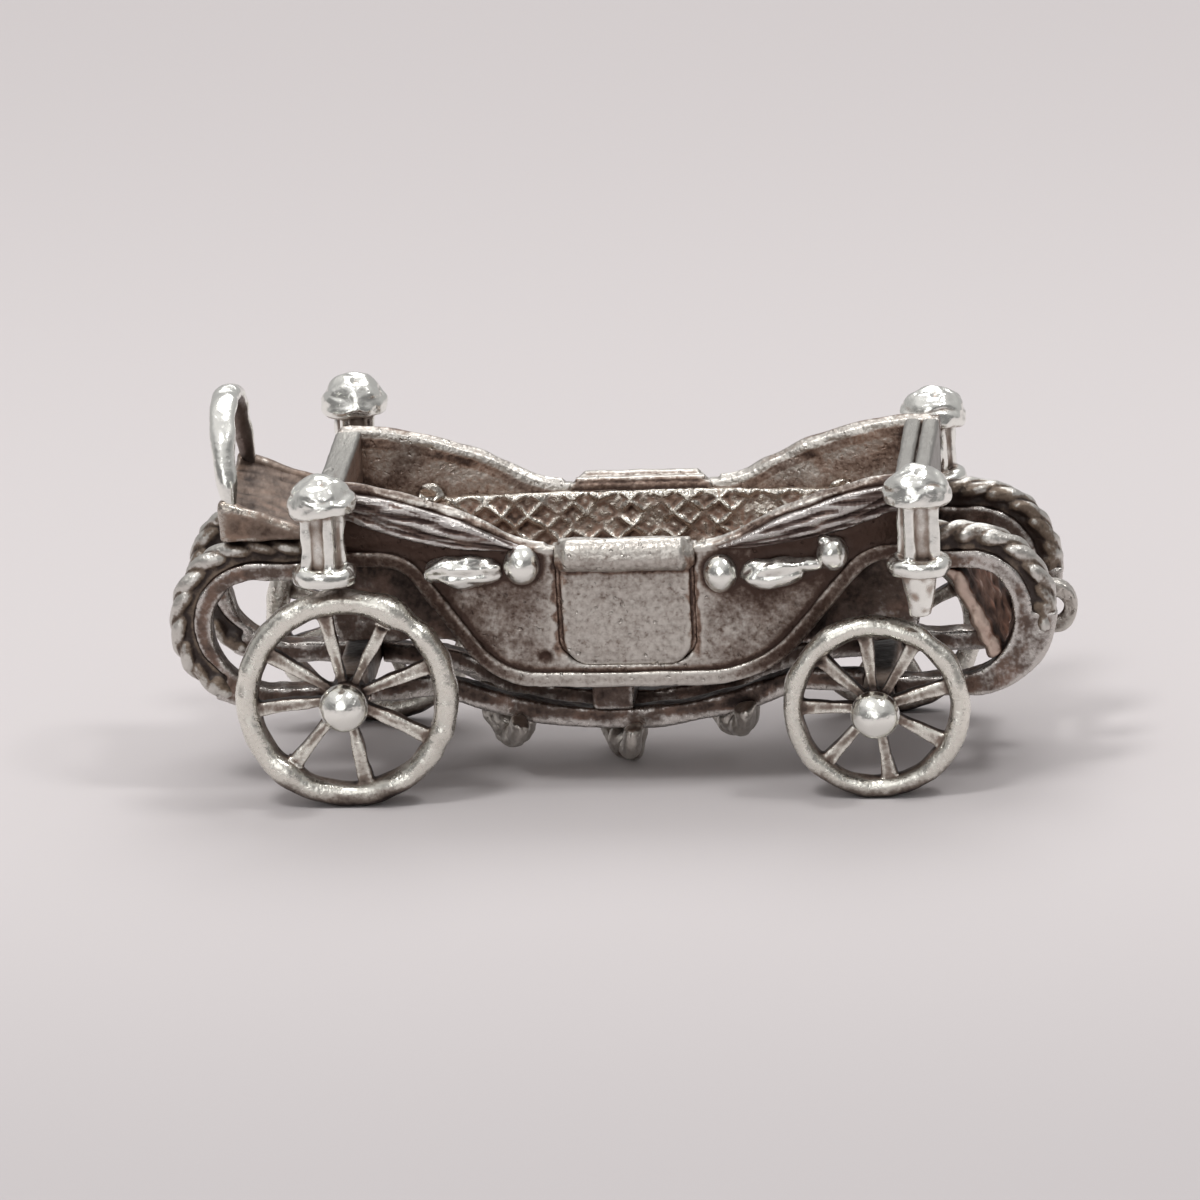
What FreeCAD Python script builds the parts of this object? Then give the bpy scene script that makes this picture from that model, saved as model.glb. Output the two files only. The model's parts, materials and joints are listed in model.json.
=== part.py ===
import FreeCAD, Part
import math
import os
import Sketcher

# A miniature open carriage, cast in silver: +X is the front, +Z is up, and the origin
# lies on the ground under the middle of the whole length. Lengths are in millimetres.

SIZES = {
    "half_width": (4.44, "half width of the body at its widest, top"),
    "side_middle": (1.25, "where the body is widest, ahead of the middle"),
    "rear_spring_out": (2.3, "centre of the rear springs behind the rear wall"),
    "front_spring_out": (1.15, "centre of the front springs ahead of the front wall"),
    "rear_axle_back": (9.0, "rear axle behind the middle"),
    "front_axle_ahead": (8.5, "front axle ahead of the middle"),
    "track": (9.8, "distance between the middle planes of a pair of wheels"),
    "rear_wheel_radius": (3.7, "outside of the rear rim"),
    "front_wheel_radius": (3.08, "outside of the front rim"),
    "rear_rim_depth": (0.78, "rear rim, along the radius"),
    "front_rim_depth": (0.66, "front rim, along the radius"),
    "rear_rim_width": (1.0, "rear rim, along the axle"),
    "front_rim_width": (0.9, "front rim, along the axle"),
    "rim_bevel": (0.2, "bevel of the rim's edges"),
    "spoke_count": (8, "spokes in a wheel"),
    "spoke_root": (0.36, "spoke width at the hub"),
    "spoke_foot": (0.66, "spoke width at the rim"),
    "spoke_depth": (0.5, "spoke along the axle"),
    "hub_radius": (0.62, "outside of the hub barrel"),
    "rear_hub_length": (1.3, "rear hub barrel along the axle"),
    "front_hub_length": (0.9, "front hub barrel along the axle"),
    "axle_radius": (0.3, "wire that carries the wheels"),
    "running_gap": (0.06, "radial play of a wheel on its wire"),
    "side_play": (0.08, "play of a hub between bed and ball"),
    "ball_radius": (0.82, "ball on the end of each axle"),
    "bed_length": (1.0, "axle bed along the carriage"),
    "bed_rise": (0.5, "axle bed above the axle"),
    "floor_low": (3.65, "underside of the body above the ground"),
    "rim_high": (10.6, "top of the body's end walls"),
    "door_high": (8.5, "lowest part of the side panels' top edge"),
    "tub_rear": (9.8, "outer face of the rear wall behind the middle"),
    "tub_front": (10.4, "outer face of the front wall ahead of the middle"),
    "rear_wall": (0.8, "thickness of the rear wall"),
    "front_wall": (1.1, "thickness of the front wall"),
    "wall": (0.55, "thickness of the side panels"),
    "floor_plate": (0.4, "thickness of the floor"),
    "side_bow": (78.0, "radius of the sides' bow in plan"),
    "side_taper": (0.6, "each side's lean from top to bottom"),
    "belly_rear": (2.7, "rear end of the flat underside behind the middle"),
    "belly_front": (2.9, "front end of the flat underside ahead of the middle"),
    "rear_bend": (2.8, "radius of the belly's rear bend"),
    "front_bend": (4.2, "radius of the belly's front bend"),
    "rear_rise": (55.0, "steepest slope of the belly at the rear, in degrees"),
    "front_rise": (50.0, "steepest slope of the belly at the front, in degrees"),
    "rear_sweep": (1.3, "radius of the belly's upper bend at the rear"),
    "front_sweep": (1.45, "radius of the belly's upper bend at the front"),
    "moulding_width": (0.47, "raised band along the belly"),
    "moulding_proud": (0.16, "how far the band stands out"),
    "door_rear": (1.9, "rear edge of the door behind the middle"),
    "door_front": (2.5, "front edge of the door ahead of the middle"),
    "door_low": (4.45, "bottom edge of the door"),
    "door_corner": (0.9, "radius of the door's lower corners"),
    "groove_width": (0.18, "groove round the door"),
    "groove_depth": (0.22, "depth of that groove"),
    "door_rail_radius": (0.44, "round rail on top of the door"),
    "lamp_rear_in": (0.35, "rear lamps ahead of the rear wall's face"),
    "lamp_front_in": (0.3, "front lamps behind the front wall's face"),
    "lamp_rear_out": (1.36, "rear lamps outside the body's half width"),
    "lamp_front_out": (1.06, "front lamps outside the body's half width"),
    "lamp_rear_drop": (2.65, "foot of the rear lamps' flange below the rim"),
    "lamp_front_drop": (2.75, "foot of the front lamps' flange below the rim"),
    "lamp_height": (3.6, "flange foot to the top of the dome"),
    "lamp_turn": (18.0, "turn of the lanterns' square shafts about their uprights, in degrees"),
    "lamp_half": (0.56, "half width of the lantern's square shaft"),
    "lamp_post": (0.27, "lantern's corner posts"),
    "lamp_recess": (0.13, "lantern's panels behind its corner posts"),
    "lamp_flange": (1.02, "radius of the flange"),
    "lamp_flange_rise": (0.42, "thickness of the flange"),
    "lamp_cap": (1.12, "radius of the domed cap"),
    "lamp_cap_rise": (1.15, "height of the domed cap"),
    "lamp_tail": (1.5, "length of the front lamps' tail"),
    "arm_radius": (0.32, "arm from lamp to body"),
    "seat_gap": (0.02, "solder gap between seated pieces"),
    "spring_gauge": (5.36, "distance between the springs' middle planes"),
    "spring_high": (5.75, "centre of the springs above the ground"),
    "spring_inner": (1.5, "inside radius of the spring leaf"),
    "spring_leaf": (0.58, "thickness of the spring leaf"),
    "spring_width": (0.9, "spring leaf across the carriage"),
    "strand_radius": (0.41, "twisted strand"),
    "rail_rise": (0.66, "height of the perch rails"),
    "rail_width": (0.7, "width of the perch rails"),
    "rail_end_low": (2.85, "underside of the perch rails at the axle beds"),
    "rail_gauge": (2.0, "distance between the rails in the middle"),
    "post_length": (1.37, "centre post along the carriage"),
    "loop_wire": (0.27, "radius of the hanging loops' wire"),
    "hoop_radius": (3.3, "outside of the rear hoop"),
    "hoop_band": (0.55, "rear hoop, along its radius"),
    "hoop_top": (13.1, "top of the rear hoop above the ground"),
    "board_thickness": (0.5, "footboard plate"),
    "bar_radius": (0.25, "splinter bar"),
    "eye_radius": (0.88, "outside of the towing eye"),
    "eye_bore": (0.42, "hole of the towing eye"),
    "eye_thickness": (0.5, "towing eye across the carriage"),
    "front_level": (1.3, "level top edge beside the front wall"),
    "rear_level": (1.0, "level top edge beside the rear wall"),
    "front_shoulder": (4.7, "where the front raised part begins to fall"),
    "front_shoulder_high": (9.2, "height of the edge there"),
    "front_scoop": (2.9, "front end of the low edge beside the door"),
    "rear_shoulder": (4.3, "where the rear raised part begins to fall"),
    "rear_shoulder_high": (9.28, "height of the edge there"),
    "rear_scoop": (2.3, "rear end of the low edge beside the door"),
    "crest_bow": (16.0, "radius of the raised edges' bow"),
    "scoop_bend": (3.6, "radius of the hollow where the edge meets the door"),
    "hood_proud": (0.34, "how far the folded hoods' top pleat stands out"),
    "pleat_step": (0.1, "each pleat below it stands this much further in"),
    "hood_lap": (0.4, "folded hood over the low edge beside the door"),
    "hood_tip": (0.04, "tip of the folded hood above the low edge"),
    "hood_drop": (1.0, "depth of the folded hood at the end walls"),
    "hood_sag": (14.0, "radius of the folded hood's lower edge"),
    "lining_thickness": (0.35, "padded lining on the side panels"),
    "lining_rear": (5.8, "rear edge of the lining behind the middle"),
    "lining_front": (6.2, "front edge of the lining ahead of the middle"),
    "lining_high": (8.3, "top edge of the lining"),
    "rear_seat_back": (4.9, "foot of the rear seat's back behind the middle"),
    "front_seat_back": (5.8, "foot of the front seat's back ahead of the middle"),
    "seat_depth": (2.0, "seat from its back to its front edge"),
    "bench_high": (6.3, "top of the seats"),
    "back_high": (8.15, "top of the seats' backs"),
    "back_lean": (1.2, "lean of the seats' backs"),
    "back_thickness": (0.7, "top of the seats' backs"),
    "bed_edge": (0.12, "bevel of beds and rounding of the centre post"),
    "ball_collar": (0.45, "collar between hub and ball"),
    "lamp_brim": (0.2, "upright brim of the cap"),
    "lamp_tail_tip": (0.34, "radius at the tail's tip"),
    "lamp_tail_root": (0.6, "radius at the tail's root"),
    "arm_high": (1.3, "arm above the flange's foot"),
    "rear_strand_end": (60.0, "where the rear strand ends, in degrees below level"),
    "front_strand_end": (2.0, "where the front strand ends, in degrees below level"),
    "spring_lap": (0.8, "length of the springs' tails under the body"),
    "spring_throat": (0.4, "end of the springs' lower bend"),
    "spring_throat_bend": (2.1, "radius of the springs' lower bend"),
    "rail_bow": (12.8, "radius of the rails' dip, seen from the side"),
    "rail_reach": (5.4, "half length of that dip"),
    "rail_shoulder": (2.7, "radius where the dip meets the level ends"),
    "rail_middle": (-0.2, "lowest point of the rails, along the carriage"),
    "rail_plan_bow": (26.8, "radius of the rails, seen from above"),
    "post_x": (-0.5, "middle of the centre post"),
    "loop_turn": (30.0, "turn of the hanging loops about the upright, in degrees"),
    "loop_rear_x": (4.13, "rear loop behind the middle"),
    "loop_middle_x": (0.29, "middle loop behind the middle"),
    "loop_front_x": (3.4, "front loop ahead of the middle"),
    "loop_rear_low": (0.6, "bottom of the rear loop"),
    "loop_middle_low": (0.06, "bottom of the middle loop"),
    "loop_front_low": (0.8, "bottom of the front loop"),
    "footman_out": (1.0, "back of the footman's seat behind the rear springs' centre"),
    "footman_gap": (0.6, "front of the footman's seat behind the rear wall"),
    "footman_rise": (1.33, "height of the footman's seat at its back"),
    "footman_rail": (0.4, "side rails of the footman's seat"),
    "footman_dip": (0.22, "seat plate below its side rails"),
    "footman_lip": (0.35, "thickness of the footman's seat at its front"),
    "hoop_out": (0.68, "foot of the hoop behind the rear springs' centre"),
    "hoop_lean": (0.33, "lean of the hoop"),
    "hoop_root": (0.5, "width of the hoop's band at its feet"),
    "hoop_width": (0.93, "width of the hoop's band at its top"),
    "board_out": (0.45, "top edge of the footboard ahead of the front wall"),
    "board_kick": (0.65, "bottom edge of the footboard ahead of the springs' centre"),
    "board_high": (1.4, "top edge of the footboard above the springs' centre"),
    "board_low": (1.55, "bottom edge of the footboard below the springs' centre"),
    "board_lap": (0.8, "footboard over the two springs' leaves"),
    "bar_out": (2.05, "splinter bar ahead of the front springs' centre"),
    "bar_drop": (1.6, "splinter bar below the front springs' centre"),
    "eye_out": (0.52, "towing eye ahead of the splinter bar"),
    "eye_rise": (0.85, "towing eye above the splinter bar"),
    "wall_seam": (0.12, "seam along the top of the front wall"),
    "wall_seam_depth": (0.25, "depth of that seam"),
    "wall_seam_in": (0.5, "seam behind the front wall's face"),
    "strand_lay": (1.8, "length of one full turn of the twisted strands"),
    "strand_waist": (0.5, "half thickness of a strand across its lobes, as a share of its radius"),
    "bead_proud": (0.55, "how far the beads stand out"),
    "bead_radius": (0.56, "beads of the hood irons"),
    "rear_bead_x": (3.09, "rear bead behind the middle"),
    "rear_bead_z": (7.9, "rear bead above the ground"),
    "front_bead_x": (3.47, "front bead ahead of the middle"),
    "front_bead_z": (7.55, "front bead above the ground"),
    "end_bead_x": (7.18, "foremost bead ahead of the middle"),
    "end_bead_z": (8.15, "foremost bead above the ground"),
    "iron_proud": (0.42, "how far the hood irons stand out"),
    "rear_iron_x": (6.3, "rear end of the rear hood iron behind the middle"),
    "rear_iron_length": (2.9, "rear hood iron"),
    "rear_iron_z": (7.72, "rear hood iron above the ground"),
    "front_iron_x": (3.85, "rear end of the front hood iron ahead of the middle"),
    "front_iron_length": (3.15, "front hood iron"),
    "front_iron_z": (7.42, "rear end of the front hood iron above the ground"),
    "front_iron_climb": (0.45, "rise of the front hood iron to its front end"),
    "rear_iron_bend": (2.4, "radius of the rear hood iron's leaf outline"),
    "front_iron_bend": (2.8, "radius of the front hood iron's leaf outline"),
    "boss_proud": (0.33, "how far the bosses stand in from the side panels"),
    "boss_radius": (0.4, "bosses beside the linings"),
    "boss_out": (0.9, "bosses beyond the linings' ends"),
    "rear_boss_rise": (0.08, "rear bosses above the linings' top edge"),
    "front_boss_drop": (0.1, "front bosses below the linings' top edge"),
    "door_rail_stand": (0.05, "middle of the door's rail outside the side's face"),
    "door_rail_drop": (0.35, "middle of the door's rail below the lowest part of the top edge"),
    "rail_chamfer": (0.18, "bevel of the door rail's ends"),
    "boot_gap": (0.1, "boots inside the springs' leaves, on either side"),
    "rear_boot_over": (0.6, "underside of the rear boot above its axle bed"),
    "front_boot_over": (0.95, "underside of the front boot above its axle bed"),
    "rear_boot_rake": (0.1, "outer face of the rear boot, further in at its foot"),
    "front_boot_rake": (0.6, "outer face of the front boot, further in at its foot"),
    "boot_corner": (0.7, "rounding of the boots' lower outer edge"),
}

SIDE = "XZ_Plane"
PLAN = "XY_Plane"
CROSS = "YZ_Plane"
VIEWS = {
    SIDE: FreeCAD.Rotation(FreeCAD.Vector(1, 0, 0), 90),
    PLAN: FreeCAD.Rotation(),
    CROSS: FreeCAD.Rotation(FreeCAD.Vector(1, 1, 1), 120),
}
HALF_TURN = FreeCAD.Rotation(FreeCAD.Vector(0, 0, 1), 180)
REAR, FRONT = -1, 1
NEAR, FAR = -1, 1
END_NAMES = {REAR: "rear", FRONT: "front"}
PLEATS = 3
LOBE = 0.55
STRAND_STEPS = 6
SIDE_NAMES = {NEAR: "near", FAR: "far"}

doc = FreeCAD.newDocument("carriage")
nodes = []


class Dim:
    """A length with its value in millimetres and the sheet expression that gives it."""

    def __init__(self, value, text):
        self.value = float(value)
        self.text = text

    def __add__(self, other):
        other = dim(other)
        return Dim(self.value + other.value, f"({self.text} + {other.text})")

    def __sub__(self, other):
        other = dim(other)
        return Dim(self.value - other.value, f"({self.text} - {other.text})")

    def __mul__(self, other):
        other = dim(other)
        return Dim(self.value * other.value, f"({self.text} * {other.text})")

    def __truediv__(self, other):
        other = dim(other)
        return Dim(self.value / other.value, f"({self.text} / {other.text})")

    def __neg__(self):
        return Dim(-self.value, f"(-{self.text})")

    def __radd__(self, other):
        return dim(other) + self

    def __rsub__(self, other):
        return dim(other) - self

    def __rmul__(self, other):
        return dim(other) * self


def dim(number):
    """A plain number as a Dim."""
    return number if isinstance(number, Dim) else Dim(number, f"({number:.6g})")


def root(square):
    return Dim(math.sqrt(square.value), f"sqrt({square.text})")


def sine(degrees):
    return Dim(math.sin(math.radians(degrees.value)), f"sin({degrees.text} * 1deg)")


def cosine(degrees):
    return Dim(math.cos(math.radians(degrees.value)), f"cos({degrees.text} * 1deg)")


class Sheet:
    """The driving sizes in the document's spreadsheet, each read by its alias."""

    def __init__(self, sizes):
        cells = doc.addObject("Spreadsheet::Sheet", "Sizes")
        for row, (name, (value, meaning)) in enumerate(sizes.items(), start=1):
            cells.set(f"A{row}", meaning)
            cells.set(f"B{row}", str(value))
            cells.setAlias(f"B{row}", name)
        doc.recompute()
        self.cells = cells

    def __getattr__(self, name):
        return Dim(getattr(self.cells, name), f"Sizes.{name}")


size = Sheet(SIZES)


def bind(thing, prop, length):
    """Tie a property of an object to the sheet."""
    length = dim(length)
    thing.setExpression(prop, length.text)


def place(thing, x=0, y=0, z=0, rotation=None):
    """Set an object's place, tied to the sheet, and its turn."""
    thing.Placement = FreeCAD.Placement(FreeCAD.Vector(), rotation or FreeCAD.Rotation())
    for axis, length in zip("xyz", (x, y, z)):
        bind(thing, f"Placement.Base.{axis}", length)
    return thing


def keep(thing, label):
    """Name an object as one of the carriage's pieces."""
    thing.Label = label
    nodes.append(thing)
    return thing


def arc_between(start, end, bend):
    """An arc of radius |bend| that turns left where bend is positive, else right."""
    chord = end - start
    across = FreeCAD.Vector(-chord.y, chord.x, 0).normalize()
    rise = math.sqrt(max(bend * bend - chord.Length ** 2 / 4, 0))
    centre = (start + end) * 0.5 + across * math.copysign(rise, bend)
    first, last = (start, end) if bend > 0 else (end, start)
    angles = [math.atan2(p.y - centre.y, p.x - centre.x) for p in (first, last)]
    if angles[1] <= angles[0]:
        angles[1] += 2 * math.pi
    return Part.ArcOfCircle(Part.Circle(centre, FreeCAD.Vector(0, 0, 1), abs(bend)), *angles)


def fix_point(sketch, edge, spot, x, y):
    """Hold a point of a sketch edge at (x, y)."""
    for kind, length in (("DistanceX", x), ("DistanceY", y)):
        row = sketch.addConstraint(Sketcher.Constraint(kind, -1, 1, edge, spot, length.value))
        sketch.setExpression(f"Constraints[{row}]", length.text)


def fix_radius(sketch, edge, radius):
    row = sketch.addConstraint(Sketcher.Constraint("Radius", edge, radius.value))
    sketch.setExpression(f"Constraints[{row}]", radius.text)


def draw(sketch, corners):
    """Draw a closed outline.

    A corner is (x, y), or (x, y, bend) where the edge that arrives there is an arc.
    """
    corners = [tuple(dim(part) for part in corner) for corner in corners]
    points = [FreeCAD.Vector(c[0].value, c[1].value, 0) for c in corners]
    spots = []
    for i, corner in enumerate(corners):
        if len(corner) == 2:
            sketch.addGeometry(Part.LineSegment(points[i - 1], points[i]), False)
            spots.append((1, 2))
        else:
            bend = corner[2]
            sketch.addGeometry(arc_between(points[i - 1], points[i], bend.value), False)
            spots.append((1, 2) if bend.value > 0 else (2, 1))
    count = len(corners)
    for i in range(count):
        after = (i + 1) % count
        sketch.addConstraint(
            Sketcher.Constraint("Coincident", i, spots[i][1], after, spots[after][0])
        )
    for i, corner in enumerate(corners):
        fix_point(sketch, i, spots[i][1], corner[0], corner[1])
        if len(corner) == 3:
            fix_radius(sketch, i, corner[2] if corner[2].value > 0 else -corner[2])
    return sketch


def draw_circle(sketch, x, y, radius):
    x, y, radius = dim(x), dim(y), dim(radius)
    centre = FreeCAD.Vector(x.value, y.value, 0)
    edge = sketch.addGeometry(Part.Circle(centre, FreeCAD.Vector(0, 0, 1), radius.value), False)
    fix_point(sketch, edge, 3, x, y)
    fix_radius(sketch, edge, radius)
    return sketch


def new_body(label):
    body = doc.addObject("PartDesign::Body", label)
    body.Label = label
    return body


def body_sketch(body, view, offset=0):
    """An empty sketch on one of the body's origin planes, or parallel to it."""
    sketch = body.newObject("Sketcher::SketchObject", f"{body.Name}_outline")
    plane = [item for item in body.Origin.OriginFeatures if item.Role == view][0]
    sketch.AttachmentSupport = [(plane, "")]
    sketch.MapMode = "FlatFace"
    bind(sketch, "AttachmentOffset.Base.z", offset)
    return sketch


def add_pad(body, sketch, length, side="Symmetric", reverse=False):
    pad = body.newObject("PartDesign::Pad", f"{body.Name}_pad")
    pad.Profile = sketch
    pad.SideType = side
    pad.Reversed = reverse
    bind(pad, "Length", length)
    return pad


def add_pocket(body, sketch, length, side="Symmetric", reverse=False):
    pocket = body.newObject("PartDesign::Pocket", f"{body.Name}_pocket")
    pocket.Profile = sketch
    pocket.SideType = side
    pocket.Reversed = reverse
    bind(pocket, "Length", length)
    return pocket


def add_revolution(body, sketch, angle=360):
    """Turn a sketch about its own upright axis."""
    turn = body.newObject("PartDesign::Revolution", f"{body.Name}_turn")
    turn.Profile = sketch
    turn.ReferenceAxis = (sketch, ["V_Axis"])
    bind(turn, "Angle", angle)
    return turn


def add_circle_of(body, feature, sketch, count):
    """Repeat a feature about the normal of a sketch."""
    pattern = body.newObject("PartDesign::PolarPattern", f"{body.Name}_pattern")
    pattern.Originals = [feature]
    pattern.Axis = (sketch, ["N_Axis"])
    pattern.Angle = 360
    bind(pattern, "Occurrences", count)
    body.Tip = pattern
    return pattern


def prism(name, view, corners, length, symmetric=False, reverse=False):
    """A straight solid over an outline, along the normal of its view."""
    sketch = doc.addObject("Sketcher::SketchObject", f"{name}_outline")
    sketch.Placement = FreeCAD.Placement(FreeCAD.Vector(), VIEWS[view])
    draw(sketch, corners)
    solid = doc.addObject("Part::Extrusion", name)
    solid.Base = sketch
    solid.DirMode = "Normal"
    solid.Solid = True
    solid.Symmetric = symmetric
    solid.Reversed = reverse
    bind(solid, "LengthFwd", length)
    return solid


def cut(name, base, tool):
    result = doc.addObject("Part::Cut", name)
    result.Base = base
    result.Tool = tool
    return result


def common(name, base, tool):
    result = doc.addObject("Part::Common", name)
    result.Base = base
    result.Tool = tool
    return result


def fuse(name, parts):
    result = doc.addObject("Part::MultiFuse", name)
    result.Shapes = parts
    return result


def across(thing, label):
    """The same piece on the far side of the carriage."""
    twin = doc.addObject("Part::Mirroring", label)
    twin.Source = thing
    twin.Base = FreeCAD.Vector()
    twin.Normal = FreeCAD.Vector(0, 1, 0)
    return keep(twin, label)


def both_sides(thing, stem):
    """Keep a near piece and its mirror image."""
    keep(thing, f"{stem}_near")
    across(thing, f"{stem}_far")


# Heights and places that follow from the driving sizes

HALF_SPAN = size.track / 2
SPRING_OUTER = size.spring_inner + size.spring_leaf
SPRING_REACH = SPRING_OUTER + size.strand_radius * 2
END_LOW = size.spring_high + SPRING_OUTER + size.seat_gap
SPRING_X = {REAR: -size.tub_rear - size.rear_spring_out, FRONT: size.tub_front + size.front_spring_out}
HUB_HALF = {REAR: size.rear_hub_length / 2, FRONT: size.front_hub_length / 2}
REAR_CREST = size.tub_rear - size.rear_level
FRONT_CREST = size.tub_front - size.front_level
BAR_X = SPRING_X[FRONT] + size.bar_out
BAR_Z = size.spring_high - size.bar_drop
AXLE_X = {REAR: -size.rear_axle_back, FRONT: size.front_axle_ahead}
WHEEL_RADIUS = {REAR: size.rear_wheel_radius, FRONT: size.front_wheel_radius}
RIM_DEPTH = {REAR: size.rear_rim_depth, FRONT: size.front_rim_depth}
RIM_WIDTH = {REAR: size.rear_rim_width, FRONT: size.front_rim_width}
TUB_END = {REAR: -size.tub_rear, FRONT: size.tub_front}


def belly_side(end, inset):
    """Corners of the belly's outline from its flat underside out to one end wall."""
    flat, bend, slope, sweep = {
        REAR: (size.belly_rear, size.rear_bend, size.rear_rise, size.rear_sweep),
        FRONT: (size.belly_front, size.front_bend, size.front_rise, size.front_sweep),
    }[end]
    lean, level = sine(slope), cosine(slope)
    bend_end_x = flat + bend * lean
    bend_end_z = size.floor_low + bend - bend * level
    climb = END_LOW - sweep + sweep * level - bend_end_z
    sweep_x = bend_end_x + climb * level / lean + sweep * lean
    inner_bend = bend - inset
    outer_sweep = sweep + inset
    return [
        (flat * end, size.floor_low + inset),
        ((flat + inner_bend * lean) * end, size.floor_low + bend - inner_bend * level, inner_bend * end),
        ((sweep_x - outer_sweep * lean) * end, END_LOW - sweep + outer_sweep * level),
        (sweep_x * end, END_LOW + inset, outer_sweep * -end),
    ]


def backwards(corners):
    """The same open run of corners, drawn the other way round."""
    turned = []
    for i in range(len(corners) - 1, -1, -1):
        point = corners[i][:2]
        arrives = corners[i + 1] if i + 1 < len(corners) else None
        bend = (-arrives[2],) if arrives and len(arrives) == 3 else ()
        turned.append(point + bend)
    return turned


def belly_run(inset, rear_x, front_x):
    """Corners of the belly from the rear end to the front end, left to right."""
    rear = backwards(belly_side(REAR, inset))
    front = belly_side(FRONT, inset)
    return [(rear_x, END_LOW + inset)] + rear + front + [(front_x, END_LOW + inset)]


def top_run():
    """Corners of the side panels' top edge, from the front wall to the rear wall."""
    return [
        (size.tub_front, size.rim_high),
        (FRONT_CREST, size.rim_high),
        (size.front_shoulder, size.front_shoulder_high, size.crest_bow),
        (size.front_scoop, size.door_high, -size.scoop_bend),
        (-size.rear_scoop, size.door_high),
        (-size.rear_shoulder, size.rear_shoulder_high, -size.scoop_bend),
        (-REAR_CREST, size.rim_high, size.crest_bow),
        (-size.tub_rear, size.rim_high),
    ]


def half_width_at(x, inset=0):
    """Half width of the body's top at x, on or inside its outer face."""
    bow = size.side_bow - inset
    aside = x - size.side_middle
    return size.half_width - size.side_bow + root(bow * bow - aside * aside)


def side_face(x, z):
    """Distance of the side's outer face from the centre plane at a height."""
    lean = size.side_taper * (size.rim_high - z) / (size.rim_high - size.floor_low)
    return half_width_at(x) - lean


def plan_outline(inset, lean, longer):
    """The body seen from above: two bowed sides between straight ends."""
    rear_x = inset - size.tub_rear - longer
    front_x = size.tub_front - inset + longer
    rear_y = half_width_at(rear_x, inset) - lean
    front_y = half_width_at(front_x, inset) - lean
    return [
        (rear_x, -rear_y),
        (front_x, -front_y, size.side_bow - inset),
        (front_x, front_y),
        (rear_x, rear_y, size.side_bow - inset),
    ]


def tub_loft(name, inset, longer=0):
    """The body's form between its leaning, bowed sides, taller than the body itself."""
    spare = dim(1.0)
    height = size.rim_high - size.floor_low
    over = size.side_taper * (height + spare) / height
    sections = []
    for level, lean in (
        (size.floor_low - spare, over),
        (size.rim_high + spare, -size.side_taper * spare / height),
    ):
        sketch = doc.addObject("Sketcher::SketchObject", f"{name}_section")
        draw(sketch, plan_outline(dim(inset), lean, dim(longer)))
        place(sketch, z=level)
        sections.append(sketch)
    loft = doc.addObject("Part::Loft", name)
    loft.Sections = sections
    loft.Solid = True
    loft.Ruled = True
    return loft


def door_outline(grow):
    """The door from its top edge down to its rounded lower corners."""
    grow = dim(grow)
    left = -size.door_rear - grow
    right = size.door_front + grow
    low = size.door_low - grow
    corner = size.door_corner + grow
    top = size.rim_high
    return [
        (left, top),
        (left, low + corner),
        (left + corner, low, corner),
        (right - corner, low),
        (right, low + corner, corner),
        (right, top),
    ]


def hood_outline(end, share):
    """One pleat of a folded hood: the top edge above, a hanging curve below."""
    scoop = {REAR: -size.rear_scoop, FRONT: size.front_scoop}[end]
    crest = {REAR: -REAR_CREST, FRONT: FRONT_CREST}[end]
    shoulder_x, shoulder_z = {
        REAR: (-size.rear_shoulder, size.rear_shoulder_high),
        FRONT: (size.front_shoulder, size.front_shoulder_high),
    }[end]
    tip_x = scoop + size.hood_lap * end
    tip_z = size.door_high + size.hood_tip
    back = (1 - share) / 2
    low = size.rim_high - size.hood_drop * share
    wall_x = TUB_END[end]
    return [
        (wall_x, size.rim_high),
        (wall_x, low),
        (crest, low),
        (tip_x + (shoulder_x - tip_x) * back, tip_z + (shoulder_z - tip_z) * back, size.hood_sag * -end),
        (shoulder_x, shoulder_z),
        (crest, size.rim_high, size.crest_bow * end),
    ]


def build_hood(end, outer, reach):
    """A folded hood in three pleats, each standing out further than the one below it."""
    name = f"hood_{END_NAMES[end]}"
    pleats = []
    for row in range(PLEATS):
        share = (PLEATS - row) / PLEATS
        proud = size.hood_proud - size.pleat_step * (PLEATS - 1 - row)
        block = prism(f"{name}_pleat_block", SIDE, hood_outline(end, share), reach)
        pleats.append(common(f"{name}_pleat", block, tub_loft(f"{name}_pleat_face", -proud)))
    both_sides(cut(name, fuse(f"{name}_pleats", pleats), outer), name)


def build_tub():
    """Side panels, doors, end walls, floor, mouldings and folded hoods."""
    reach = size.half_width * 2
    outer = tub_loft("tub_outer", 0)
    inner = tub_loft("tub_inner", size.wall, longer=2)
    profile = belly_run(dim(0), -size.tub_rear, size.tub_front) + top_run()
    near_block = prism("near_block", SIDE, profile, reach)
    near_skin = cut("near_skin", common("near_side", near_block, outer), inner)
    door_block = prism("door_block", SIDE, door_outline(0), reach)
    groove = cut(
        "door_groove",
        cut(
            "groove_ring",
            prism("groove_outer", SIDE, door_outline(size.groove_width / 2), reach),
            prism("groove_inner", SIDE, door_outline(-size.groove_width / 2), reach),
        ),
        tub_loft("groove_floor", size.groove_depth, longer=2),
    )
    side = cut("side_panel", cut("side_without_door", near_skin, door_block), groove)
    both_sides(side, "side_panel")
    leaf = cut("door_leaf", common("door_part", near_skin, door_block), groove)
    both_sides(fuse("door", [leaf, door_rail()]), "door")
    moulding = cut(
        "moulding",
        common(
            "moulding_band",
            prism("moulding_block", SIDE, moulding_outline(), reach),
            tub_loft("moulding_outer", -size.moulding_proud),
        ),
        outer,
    )
    both_sides(moulding, "moulding")
    for end in (REAR, FRONT):
        build_hood(end, outer, reach)
    build_irons(outer, reach)
    build_core(inner, reach)
    return outer, inner


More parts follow.
